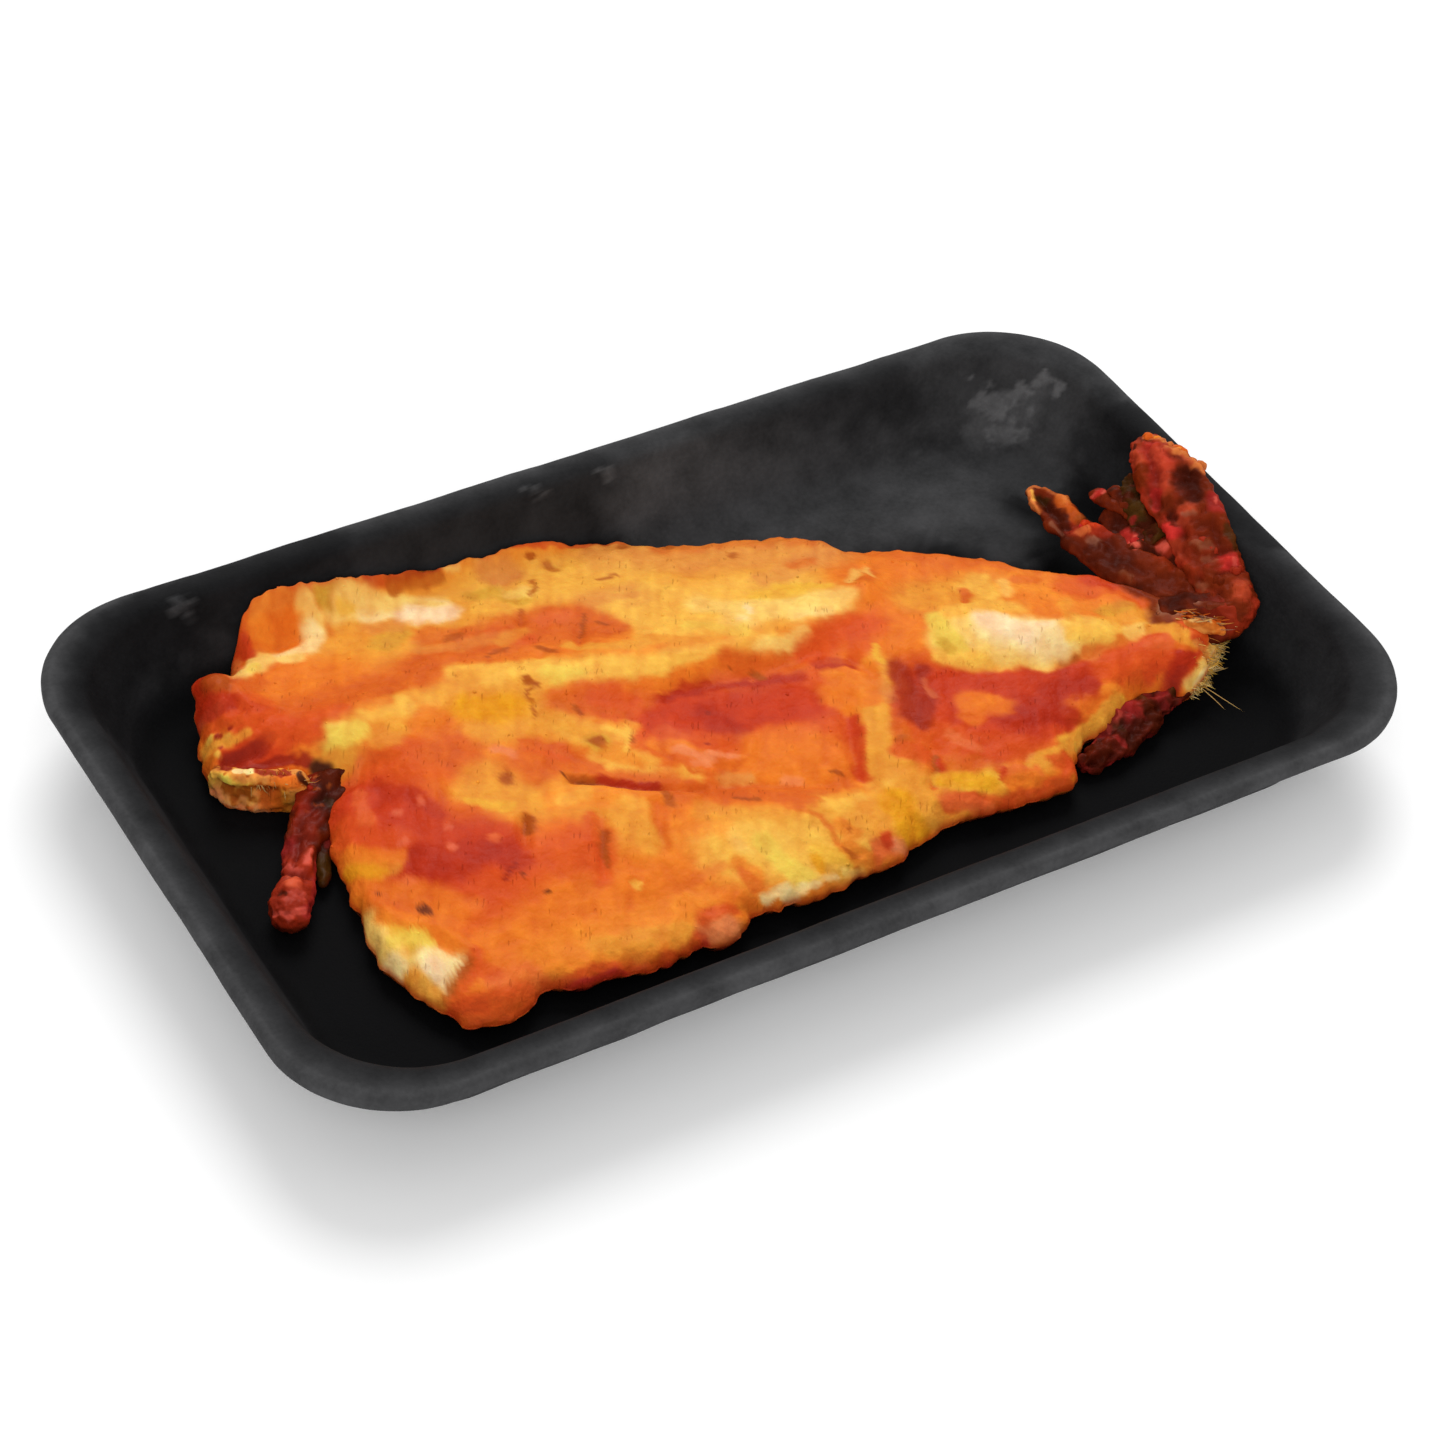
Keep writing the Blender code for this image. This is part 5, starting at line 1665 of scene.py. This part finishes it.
@dataclass(frozen=True)
class TailEnd:
    """The tail fin's lobes and rays, the web between them and the fin under the tail."""

    limbs: tuple[Limb, ...] = (
        Limb("tail_root", places("""
            83,-17.2,9.6,7,3.4 87,-18.9,10.9,6.8,3.1 91.5,-20.8,12.4,6,2.8 95.6,-22.4,13.6,5.2,2.5
            98.2,-22.6,14.6,3.4,2"""),
             (0.35, -1.0, -0.1), Tone.FIN_BROWN, Tone.FIN_DARK,
             strokes=strokes_in("FIN_RED 3 .7 13,1 19,3; SINEW .5 .6 13,-4.4 15,-4.2"),
             lumps=0.5, rough=0.6, wetness=0.3, seed=210),
        Limb("left_lobe", places("""
            95,-17,12.8,5,2 91.6,-10,12.3,6,1.9 89.2,-4,12,6,1.8 87.6,2,11.8,5.6,1.8 86.6,7,11.6,5,1.7
            85.6,12,11.2,4.2,1.6 85.6,17,10.9,3.8,1.5 85.9,22,10.7,3.7,1.4 85.7,25.8,10.5,2.8,1.2
            85.5,28.4,10.4,1.4,.9"""),
             (1.0, 0.1, 0.12), Tone.FIN_BROWN, Tone.FIN_DARK,
             # the olive and dark lines along the slit on these two rows are painted shade
             strokes=strokes_in("""
            FIN_BROWN 2.6 .7 3,.6 24,.6; FIN_RED 1.4 .4 4,2.6 13,2.8; FIN_DARK 2 .7 24,-1.6 17,-1.8
            SINEW .5 .2 15.4,-2 13.6,-1.8; FIN_RED 2 .95 30.6,.2 28.4,1.4 26.6,2.2
            RED .9 .6 29.4,1 28,2.2; FIN_ORANGE .7 .55 30,-.4 28.4,-.2; SINEW .7 .6 26.2,-.3 25,-.2
            CRIMSON .9 .8 22.8,3.4 20.6,2.8; FIN_PINK .5 .8 19.6,2.4 18.4,1.6
            FIN_OLIVE 1 .6 33,2 30.6,3.4; BURNT 1.2 .6 39.4,1 33,1.4
            FIN_ORANGE 1.1 .65 45,2 42,1.8 38.6,2.2
            FIN_ORANGE 1.1 .95 40,-3 43.9,-2.9 46.6,-1.4 47.4,.4 45.6,1.9
            PALE_GOLD .4 .6 42.4,-2.2 45.4,-1.2; FIN_OLIVE .7 .9 43.4,-.9 40.4,-.9
            FIN_DARK 1 .85 39.6,-.9 36,-.8 32.6,-.8; SINEW .5 .5 35,-2.7 31.4,-2.5"""),
             folds=folds_in("""
            -.8 .7 35,-1 40,-1 43,-.8; .5 1 44,1.4 36,1.6; .9 1.6 28.4,1; -.7 .8 24.6,1.4 22.4,.4 14,-.4
            .5 1.2 20,-2.4 12,-2; .6 1.2 12,1.8 6,1.2; .6 .8 38,-2.9 45,-2; -.5 .6 31.6,-1 31.8,2.4"""),
             lumps=0.6, rough=0.7, wetness=0.4, seed=240, rings=210),
        Limb("web", places("""
            97,-15,13.6,4.6,1.6 95.4,-8,13.6,5.2,1.5 94.2,-1,13.4,5,1.3 93.4,5,13.3,4.2,1.1
            92.4,10,13.2,2.8,1 91.8,13,13.2,1.4,.8"""),
             (1.0, 0.0, 0.4), Tone.FIN_DARK, Tone.FIN_BROWN,
             strokes=strokes_in("""
            FIN_BROWN 1.4 .5 2,-1 12,-1.6; CRIMSON .9 .75 21.4,-.6 18.6,-1.2
            FIN_PINK .6 .85 18,-1.4 16.4,-.9; FIN_RED 1.2 .8 13.6,1.6 11,.8
            FIN_PINK .7 .8 13,.8 11.8,.5"""),
             folds=folds_in(".7 1.2 20.6,-.8 17,-1; -.6 .8 14.6,-.6 8,-.4; .5 1.1 12,.9"),
             lumps=0.5, rough=0.8, wetness=0.4, seed=270),
        Limb("right_lobe", places("""
            95.8,-26.6,12.8,3,2.4 98.2,-21,14.4,4.9,2.6 98.8,-15,15.6,5.6,2.2 99.8,-10,16.6,5.9,2
            101.3,-5,17.6,6.1,1.9 102.4,0,18.8,6.3,1.8 102.9,5,19.8,6.5,1.8 103.8,9,20.4,6.3,1.7
            104.3,13,20.6,5.6,1.6 104.6,16.8,20.7,4.5,1.5 105.2,19.6,20.7,3.2,1.3 105.7,21.6,20.7,1.9,1"""),
             (1.0, -0.15, 0.32), Tone.FIN_RED, Tone.FIN_BROWN,
             # the thin brown line follows a groove, painted shade, and the brick line on the next row
             # follows a ridge, painted highlight
             # the thin dark line follows a groove: painted shade
             strokes=strokes_in("""
            FIN_BROWN 3 .6 24,1 17,2.6 20,-1; FIN_BRICK 1.5 .7 48.4,-1.8 44,-1.8
            FIN_BROWN .5 .8 44.4,-.5 40,-1.1 36,-1.5; FIN_DARK .4 .8 47.4,-2.4 48.2,-1.9
            CRIMSON 1.3 .5 46,.2 40,-.4 35,-1.2; FIN_BRICK .8 .6 45,.4 38.1,-.2 33.6,-.9
            CRIMSON .6 .7 35,-2 33.3,-2.4 31.5,-3; CRIMSON 1.5 .95 26.4,-3.3 24.6,-2.8
            FIN_BRICK 1.2 .6 22,-3.4 19,-3.2; FIN_DARK 1.7 .85 36.6,1.9 34.4,1.6
            FIN_DARK 1.1 .8 33.4,1.3 30,.9; FIN_DARK .5 .7 29.4,-1.6 26,-2
            FIN_BRICK 1.1 .8 28.6,-.4 26.6,-.8; SINEW .4 .5 28,-.6 27,-.4
            FIN_BROWN 1.3 .6 26.4,.7 24.4,.8; FIN_ORANGE 1 .95 49,1.2 48,2.6 46.2,3
            FIN_BRICK .9 .7 45,2.2 43.4,1.7; FIN_ORANGE 1.1 .95 43.4,2.8 41.4,3.2 38.4,3.7 36.4,4.1
            FIN_BRICK .6 .6 40.2,2.6 38.6,2.8; FIN_BROWN 1.1 .8 33.4,3.4 31,3.6
            WINE 1.2 .8 28.8,3.2 26.4,2.7; FIN_PINK .4 .8 28.6,3.4 27.8,3.2
            FIN_OLIVE .9 .75 22,3.4 17.6,3.8; SINEW .8 .35 20.2,-.5 18.6,.1; SINEW .6 .35 16.4,-.6 15,0
            SINEW .6 .3 11.6,-2.8 10.8,-2.5; CRIMSON 1.4 .85 15.2,2.1 13,1.8
            FIN_PINK .4 .7 14.6,2.6 12.6,2.2; FIN_BRICK 1.4 .8 8.5,1.4 5.6,.9
            FIN_BROWN 1.2 .7 11,.6 6,-1.6"""),
             folds=folds_in("""
            -.7 .7 45.4,-.4 40,-1.1 36,-1.6 32.4,-2.6; .6 1 46,-1.8 38.6,-2.6
            .6 .8 45,.4 38.1,-.2 32.4,-1.4; -.8 1.2 37,1.9 30,1; .8 1.3 26,-3.2 24.4,-2.8
            .6 1.2 27.6,-.6; -.6 .6 29.6,-1.8 22,-1.6; .6 1.1 26,2.6; -.6 .7 24,1.6 16.4,1.2
            .7 1.2 14.2,1.9; .6 1 20,-.2; -.6 .6 17,1 16.6,4; -.6 .6 11.6,0 11.2,4; .6 1.2 7,1.2
            -.5 .6 13,-2 6,-1.2; .5 1 16,-2.6"""),
             lumps=0.5, rough=0.8, wetness=0.4, seed=300, rings=240, sides=128),
        Limb("olive_ray", places("""
            99.2,16,17.4,1.2,.6 98,10.6,16.9,3.2,.8 96.6,4,15.8,3.8,.9 95.8,-.4,14.8,2.4,.6"""),
             (1.0, 0.0, 0.4), Tone.FIN_OLIVE, Tone.FIN_DARK,
             strokes=strokes_in("FIN_DARK .9 .8 at 5,-1 9,1.2 13,-.6; WINE .6 .8 at 3,.6 11,-1.6"),
             lumps=0.8, rough=1.3, wetness=0.4, seed=327, rings=90, sides=48),
        Limb("upper_sinew", places("""
            87.2,-16.2,12.8,.7,.5 89.4,-18.2,14,1,.7 92.6,-20.4,15.3,1.1,.8 96.6,-22.6,15.5,.9,.7
            99.4,-23.4,15.2,.6,.5"""),
             (0.3, -1.0, 0.0), Tone.SINEW, Tone.FIN_BROWN,
             strokes=strokes_in("FIN_BROWN 1.6 .85 9,0 15,0"),
             lumps=0.3, rough=0.5, wetness=0.5, seed=328, rings=90, sides=36),
        Limb("lower_sinew", places("""
            83.6,-18,12.4,1,.7 87.6,-20.8,13.2,1.9,1.2 91.4,-23.6,13.2,2.4,1.3 93.8,-26,12.4,1.5,.9"""),
             (0.3, -1.0, 0.0), Tone.TAN, Tone.BURNT,
             strokes=strokes_in("""
            SINEW .8 .85 1,-1.2 8,-1.6 12,-1.4; TAN .9 .8 1,1.2 6,1.6 10,1.4; FIBRE .3 .8 5,.3 9.6,.1
            BROWN .4 .8 1,-.1 5,-.3 9,-.8; BROWN .4 .6 5,.9 11,.8"""),
             folds=folds_in("-.3 .5 3,-.3 8,-.8; .3 .7 5,1.2 10,1.2"),
             lumps=0.3, rough=0.6, wetness=0.4, seed=329, rings=110, sides=56),
        Limb("under_fin", places("""
            53.4,-38.4,5.2,1.6,1.2 58.4,-37.2,5.4,3,1.6 64,-34.8,5.6,3.9,1.9 72,-32.2,6.2,3.6,1.9
            78.4,-31,7,2.8,1.7 82,-30.2,7.4,1.4,1.2"""),
             (0.2, 1.0, 0.12), Tone.FIN_DARK, Tone.WINE,
             strokes=strokes_in("""
            WINE .8 .6 8,1.4 16,1.8 22,1; FIN_PINK .25 .5 10,1 15,1.2; FIN_DARK 1.4 .7 2,-1.2 24,-1.4
            FIN_OLIVE .9 .7 at 12,.4 20,1.4 26,.2; FIN_PINK .5 .7 at 6,2 14.6,2.4 23,2.2
            WINE .8 .7 at 9,-.6 17,-.2 22.6,-1"""),
             ribs=2, rib_height=0.3, lumps=0.9, rough=1.2, wetness=0.6, seed=330),
        Limb("long_nub", places("""
            92,17,15.6,1.8,1.3 92.6,14.2,15.3,1.5,1.1 94.2,10,15,.9,.6 95.2,5.6,14.8,.8,.5"""),
             (1.0, 0.0, 0.3), Tone.FIN_BROWN, Tone.FIN_DARK,
             strokes=strokes_in("""
            CRIMSON .8 .8 1.4,0; FIN_PINK .4 .8 at .9,-.6 2,.5; FIN_DARK .35 .8 at 1.5,.9"""),
             lumps=0.3, rough=0.6, wetness=0.7, seed=360, rings=60, sides=28),
        Limb("short_nub", places("95.4,16.4,15.6,2,1.2 95.6,13.4,15.6,1.8,1 95.8,8.6,15.4,1.2,.7"),
             (1.0, 0.0, 0.3), Tone.FIN_BROWN, Tone.FIN_DARK,
             strokes=strokes_in("CHAR .45 .9 at 1.4,-.3 2.6,.4; SINEW .6 .7 1,1.4 2.4,1.5"),
             lumps=0.3, rough=0.6, wetness=0.7, seed=370, rings=60, sides=28),
    )


# ---- small things

def drawn_tones(dice: np.random.Generator, tones: tuple[Tone, ...], count: int) -> Array:
    """Colours drawn from the tones at random."""
    tints = np.array([tone.display() for tone in tones])
    return tints[dice.integers(0, len(tints), count)]


def scattered(dice: np.random.Generator, line: Course, count: int, scatter: float, squash: float) -> Array:
    """Places at random along a line and about it, the scatter in height times the squash."""
    rows = at_lengths(smooth_curve(line, SPAN), dice.random(count), 3)
    return rows + dice.normal(0.0, scatter, rows.shape) * (1.0, 1.0, squash)


@dataclass(frozen=True)
class Tuft:
    """A row of fibres whose roots lie along a line, and which point about one way."""

    roots: Course
    aim: Triple
    count: int
    length: tuple[float, float]
    radius: tuple[float, float]
    tones: tuple[Tone, ...]
    spread: float
    scatter: float


@dataclass(frozen=True)
class Fibres:
    """Dry fibres of flesh at the bent tail and on the cut face, and two long whiskers."""

    rings: int = 7
    sides: int = 5
    rooted: float = -0.3
    whiskers: tuple[Course, ...] = (places("84.6,-31.6,7.4 86.4,-36,6.8 88.4,-40.2,6"),
                                    places("84.2,-31.8,7.2 85,-35,6.6 85.6,-38.4,6"))
    whisker_radius: float = 0.08
    tufts: tuple[Tuft, ...] = (
        Tuft(places("94,-23.6,10.6 91.4,-26.2,9.6 88.4,-28.6,8.8 85,-30.8,7.8 81.2,-32.4,7.2"),
             (0.5, -0.8, 0.1), 700, (0.4, 1.3), (0.05, 0.1),
             (Tone.STRAW, Tone.CREAM, Tone.FIBRE, Tone.PALE_GOLD), 0.45, 0.5),
        Tuft(places("86.6,-19.8,13.6 89.6,-22.2,14.2 92.6,-24.8,13.8"),
             (0.7, -0.7, 0.0), 90, (1.4, 3.0), (0.08, 0.16),
             (Tone.TAN, Tone.BURNT, Tone.SINEW, Tone.FIBRE, Tone.BROWN), 0.2, 0.7),
        Tuft(places("91,-22.6,12.4 88.4,-25.2,11.6 85.6,-27.4,10.6 82.4,-29,9.6"),
             (0.6, -0.7, 0.1), 60, (0.6, 1.6), (0.05, 0.1),
             (Tone.STRAW, Tone.GOLD, Tone.TAN, Tone.CREAM), 0.4, 0.6),
        Tuft(places("-84.6,22,10.2 -80.6,20,10.2 -76.6,18,10"),
             (0.1, -0.6, -0.8), 130, (0.8, 2.0), (0.06, 0.12),
             (Tone.TAN, Tone.FIBRE, Tone.BURNT, Tone.BROWN), 0.35, 0.6),
        Tuft(places("-78.5,19,8 -76,17.5,9"),
             (0.5, -0.6, 0.1), 70, (1.0, 2.6), (0.06, 0.12),
             (Tone.FIBRE, Tone.TAN, Tone.BURNT, Tone.BROWN), 0.35, 0.7),
    )
    seed: int = 5

    def build(self, material: Material) -> Piece:
        """Makes the fibres: each is a tapering tube along a bent line, all of them worked out
        together as one array."""
        dice = np.random.default_rng(self.seed)
        u = np.linspace(self.rooted, 1.0, self.rings)[None, :, None]
        lines, thick, colours = [], [], []
        for tuft in self.tufts:
            roots = scattered(dice, tuft.roots, tuft.count, tuft.scatter, 1.0)
            aim = np.array(tuft.aim) + dice.normal(0.0, tuft.spread, (tuft.count, 3))
            length = dice.uniform(*tuft.length, tuft.count)[:, None, None]
            bend = dice.normal(0.0, 0.3, (tuft.count, 3))[:, None]
            lines.append(roots[:, None] + aim[:, None] * length * u + bend * u * np.abs(u))
            thick.append(dice.uniform(*tuft.radius, tuft.count))
            tints = drawn_tones(dice, tuft.tones, tuft.count)
            colours.append(tints * dice.uniform(0.85, 1.05, (tuft.count, 1)))
        shares = np.linspace(0.0, 1.0, self.rings)
        lines.append(np.stack([at_lengths(smooth_curve(path, SPAN), shares, 3) for path in self.whiskers]))
        thick.append(np.full(len(self.whiskers), self.whisker_radius))
        colours.append(np.tile(Tone.FIBRE.display(), (len(self.whiskers), 1)))
        lines = np.concatenate(lines)
        along = unit(np.gradient(lines, axis=1))
        side = unit(np.cross(along, (0.1, 0.2, 1.0)))[:, :, None]
        rise = np.cross(side[:, :, 0], along)[:, :, None]
        angle = np.linspace(0.0, FULL_TURN, self.sides, endpoint=False)[None, None, :, None]
        taper = np.sqrt(1.0 - shares ** 2)
        radius = (np.concatenate(thick)[:, None] * taper)[..., None, None]
        tubes = lines[:, :, None] + (side * np.cos(angle) + rise * np.sin(angle)) * radius
        step = self.rings * self.sides
        faces = [repeated(part, len(lines), step).tolist() for part in
                 (grid_faces(self.rings, self.sides), np.arange(self.sides)[None])]
        colour = np.repeat(np.concatenate(colours), step, axis=0)
        return make_piece("fibres", tubes.reshape(-1, 3), faces[0] + faces[1], colour, 0.1, material)


@dataclass(frozen=True)
class LumpRow:
    """A row of lumps of crust along a line."""

    line: Course
    count: int
    size: tuple[float, float]
    tones: tuple[Tone, ...]
    scatter: float


@dataclass(frozen=True)
class Lumps:
    """Lumps of batter and blisters that stand off the surface, each an uneven ball."""

    rings: int = 12
    sides: int = 16
    rows: tuple[LumpRow, ...] = (
        LumpRow(places("106.4,20.4,21 107.8,17.4,21.4 109,14.2,21.6 109.6,10.6,21.4 109.6,7.4,21"), 26,
                (0.8, 1.5), (Tone.FIN_ORANGE, Tone.BURNT, Tone.BRIGHT_ORANGE), 0.35),
        LumpRow(places("86.6,12.6,12.4 88.4,9.4,12.7"), 8,
                (0.7, 1.3), (Tone.CRIMSON, Tone.RED, Tone.FIN_BRICK), 0.4),
        LumpRow(places("91.4,4.6,13.6 92.8,1.6,14.2"), 6,
                (0.6, 1.1), (Tone.CRIMSON, Tone.FIN_RED, Tone.MAROON), 0.5),
        LumpRow(places("98.6,-8,17.2 102.6,-14,16.6 100,-19,16.6"), 12,
                (0.7, 1.3), (Tone.FIN_RED, Tone.FIN_BRICK, Tone.FIN_BROWN), 1.1),
        LumpRow(places("-78.2,19,7 -76,15,8.4"), 12,
                (0.5, 1.0), (Tone.FIN_DARK, Tone.BROWN, Tone.MAROON), 0.9),
        LumpRow(places("-91.4,-8.6,8 -90.2,-5.4,8.4"), 6,
                (0.6, 1.1), (Tone.CRIMSON, Tone.RED, Tone.FIN_PINK), 0.6),
        LumpRow(places("56,-38.2,5.4 64,-36.2,5.2 74,-33,6"), 16,
                (0.4, 0.9), (Tone.MAROON, Tone.FIN_DARK, Tone.WINE), 0.6),
    )
    rise_tint: Triple = (0.06, 0.14, 0.16)
    seed: int = 11

    def build(self, material: Material) -> Piece:
        """Makes the lumps: balls of rings and sides, stretched at random, whose points are
        moved in or out by a grain."""
        dice = np.random.default_rng(self.seed)
        shape = ball(self.rings, self.sides)
        clouds, colours = [], []
        for row in self.rows:
            centres = scattered(dice, row.line, row.count, row.scatter, 0.6)
            girth = dice.uniform(*row.size, (row.count, 1, 1)) * dice.uniform(0.75, 1.25, (row.count, 1, 3))
            clouds.append(centres[:, None] + shape * girth)
            colours.append(drawn_tones(dice, row.tones, row.count))
        cloud = np.concatenate(clouds)
        centre = cloud.mean(axis=1, keepdims=True)
        swell = 1.0 + Grain(0.9, 401, 2).at(cloud.reshape(-1, 3)).reshape(*cloud.shape[:2], 1) * 0.22
        points = (centre + (cloud - centre) * swell).reshape(-1, 3)
        faces = repeated(grid_faces(self.rings, self.sides), len(cloud), len(shape))
        colour = np.repeat(np.concatenate(colours), len(shape), axis=0)
        colour *= 1.0 + Grain(0.8, 403, 2).at(points)[:, None] * self.rise_tint
        return make_piece("lumps", points, faces, colour, 0.5, material)


@dataclass(frozen=True)
class Crumbs:
    """Crumbs of crust that stick to the fish, each a small uneven lump."""

    count: int = 70
    size: tuple[float, float] = (0.16, 0.4)
    rings: int = 5
    sides: int = 7
    flatness: float = 0.6
    seed: int = 9

    def build(self, top: Array, paint: Array, material: Material) -> Piece:
        """Makes the crumbs on points of the body's top.

        Args:
            top: points of the body's top surface.
            paint: their display colours.
            material: the finish.

        Returns:
            One object that holds every crumb: flattened balls whose points, apart from the
            poles, are moved in or out at random.
        """
        dice = np.random.default_rng(self.seed)
        chosen = dice.choice(len(top), self.count, replace=False)
        shape = ball(self.rings, self.sides, self.flatness)
        girth = dice.uniform(*self.size, (self.count, 1, 1)) * dice.uniform(0.7, 1.3, (self.count, 1, 3))
        jitter = dice.uniform(0.75, 1.2, (self.count, len(shape), 1))
        jitter[:, :self.sides] = jitter[:, :1]
        jitter[:, -self.sides:] = jitter[:, -1:]
        points = top[chosen][:, None] + shape * girth * jitter
        faces = repeated(grid_faces(self.rings, self.sides), self.count, len(shape))
        shade = paint[chosen] * dice.uniform(0.95, 1.1, (self.count, 1))
        colour = np.repeat(shade, len(shape), axis=0)
        return make_piece("crumbs", points.reshape(-1, 3), faces, colour, 0.3, material)


# ---- studio

@dataclass(frozen=True)
class Studio:
    """A pale floor, a soft key light from the far right, a softer fill light from the camera's
    side, an even sky, and the camera."""

    floor_half: float = 3000.0
    floor_drop: float = 0.2
    key: tuple[float, float, float, float] = (1.5, 34.0, 44.0, 150.0)
    fill: tuple[float, float, float, float] = (1.0, 60.0, 58.0, -33.0)
    sky: float = 0.58
    focal_share: float = 2.6210
    elevation: float = 42.5703
    azimuth: float = -33.2383
    roll: float = 4.4594
    distance: float = 680.96
    pan: tuple[float, float] = (-1.71, -9.2025)
    aim_height: float = 20.0
    sensor: float = 36.0

    def floor(self) -> None:
        """Makes the floor."""
        corners = np.array(places("-1,-1,0 1,-1,0 1,1,0 -1,1,0")) * self.floor_half
        corners[:, 2] = -self.floor_drop
        graph = Graph("pale_floor")
        material = graph.shade(Base_Color=(0.95, 0.95, 0.95, 1.0), Roughness=0.8, Specular_IOR_Level=0.1,
                               Emission_Color=(1.0, 1.0, 1.0, 1.0), Emission_Strength=0.1)
        piece = make_piece("floor", corners, [[0, 1, 2, 3]], np.ones((4, 3)), 0.0, material, close=False)

    def sun(self, name: str, strength: float, softness: float, tilt: float, turn: float) -> None:
        """Makes a distant light: its strength, its width in degrees, its tilt from straight
        above, and the turn of that tilt about the vertical."""
        light = bpy.data.lights.new(name, "SUN")
        light.energy = strength
        light.angle = math.radians(softness)
        lamp = bpy.data.objects.new(name, light)
        lamp.matrix_world = (Matrix.Rotation(math.radians(turn), 4, "Z")
                             @ Matrix.Rotation(math.radians(tilt), 4, "X"))
        bpy.context.scene.collection.objects.link(lamp)

    def lights(self) -> None:
        """Makes the key light, the fill light and the even sky."""
        self.sun("key", *self.key)
        self.sun("fill", *self.fill)
        world = bpy.data.worlds.new("sky")
        world.use_nodes = True
        background = world.node_tree.nodes["Background"]
        background.inputs["Color"].default_value = (1.0, 1.0, 1.0, 1.0)
        background.inputs["Strength"].default_value = self.sky
        bpy.context.scene.world = world

    def camera(self) -> None:
        """Places the camera: it looks at the rim's middle from the azimuth and elevation,
        is rolled about its line of sight, and is slid across its view by the pan."""
        a, e, r = (math.radians(value) for value in (self.azimuth, self.elevation, self.roll))
        back = np.array([math.sin(a) * math.cos(e), -math.cos(a) * math.cos(e), math.sin(e)])
        level = np.array([math.cos(a), math.sin(a), 0.0])
        rise = np.cross(back, level)
        right = level * math.cos(r) + rise * math.sin(r)
        up = rise * math.cos(r) - level * math.sin(r)
        place = back * self.distance + right * self.pan[0] + up * self.pan[1]
        place += (0.0, 0.0, self.aim_height)
        data = bpy.data.cameras.new("camera")
        data.sensor_width = self.sensor
        data.lens = self.sensor * self.focal_share
        data.clip_start = 0.01
        item = bpy.data.objects.new("camera", data)
        axes = np.column_stack([right, up, back, place * MM])
        item.matrix_world = Matrix([*axes.tolist(), [0.0, 0.0, 0.0, 1.0]])
        bpy.context.scene.collection.objects.link(item)
        bpy.context.scene.camera = item


# ---- the whole

def settle(piece: Piece, slot: str, *nodes: str) -> None:
    """Lets a piece ride on the root body and hides the nodes it stands for."""
    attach(piece, "root")
    if nodes:
        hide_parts(*nodes)
    log.info("%s: %d faces", piece.name, len(piece.data.polygons))


def main() -> None:
    """Builds every piece in order, then the floor, the lights and the camera."""
    logging.basicConfig(level=logging.INFO, format="%(name)s %(message)s")
    bpy.context.scene.view_settings.view_transform = "Standard"
    crust = FriedFinish("fried_crust").material()
    flesh = FriedFinish("cooked_flesh", grain=0.8, browning=0.6, ticks=0.0, coat=0.0).material()
    fin = FriedFinish("fried_fin", grain=1.1, bump_depth=0.22, oily_roughness=0.45, specular=0.03,
                      coat=0.03, flesh_glow=0.04).material()
    tray = FoamTray()
    settle(tray.build(FoamFinish("black_foam").material()), "black_foam", "tray")
    body, top, paint = HakeBody(tray).build(crust)
    settle(body, "fried_crust", "hake")
    for limb in HeadEnd().limbs:
        settle(limb.build(crust), "fried_crust")
    for limb in TailEnd().limbs:
        settle(limb.build(fin), "fried_fin")
    settle(Fibres().build(flesh), "cooked_flesh")
    settle(Lumps().build(fin), "fried_crust")
    settle(Crumbs().build(top, paint, crust), "fried_crust")
    studio = Studio()
    studio.floor()
    studio.lights()
    studio.camera()


if __name__ == "__main__":
    main()
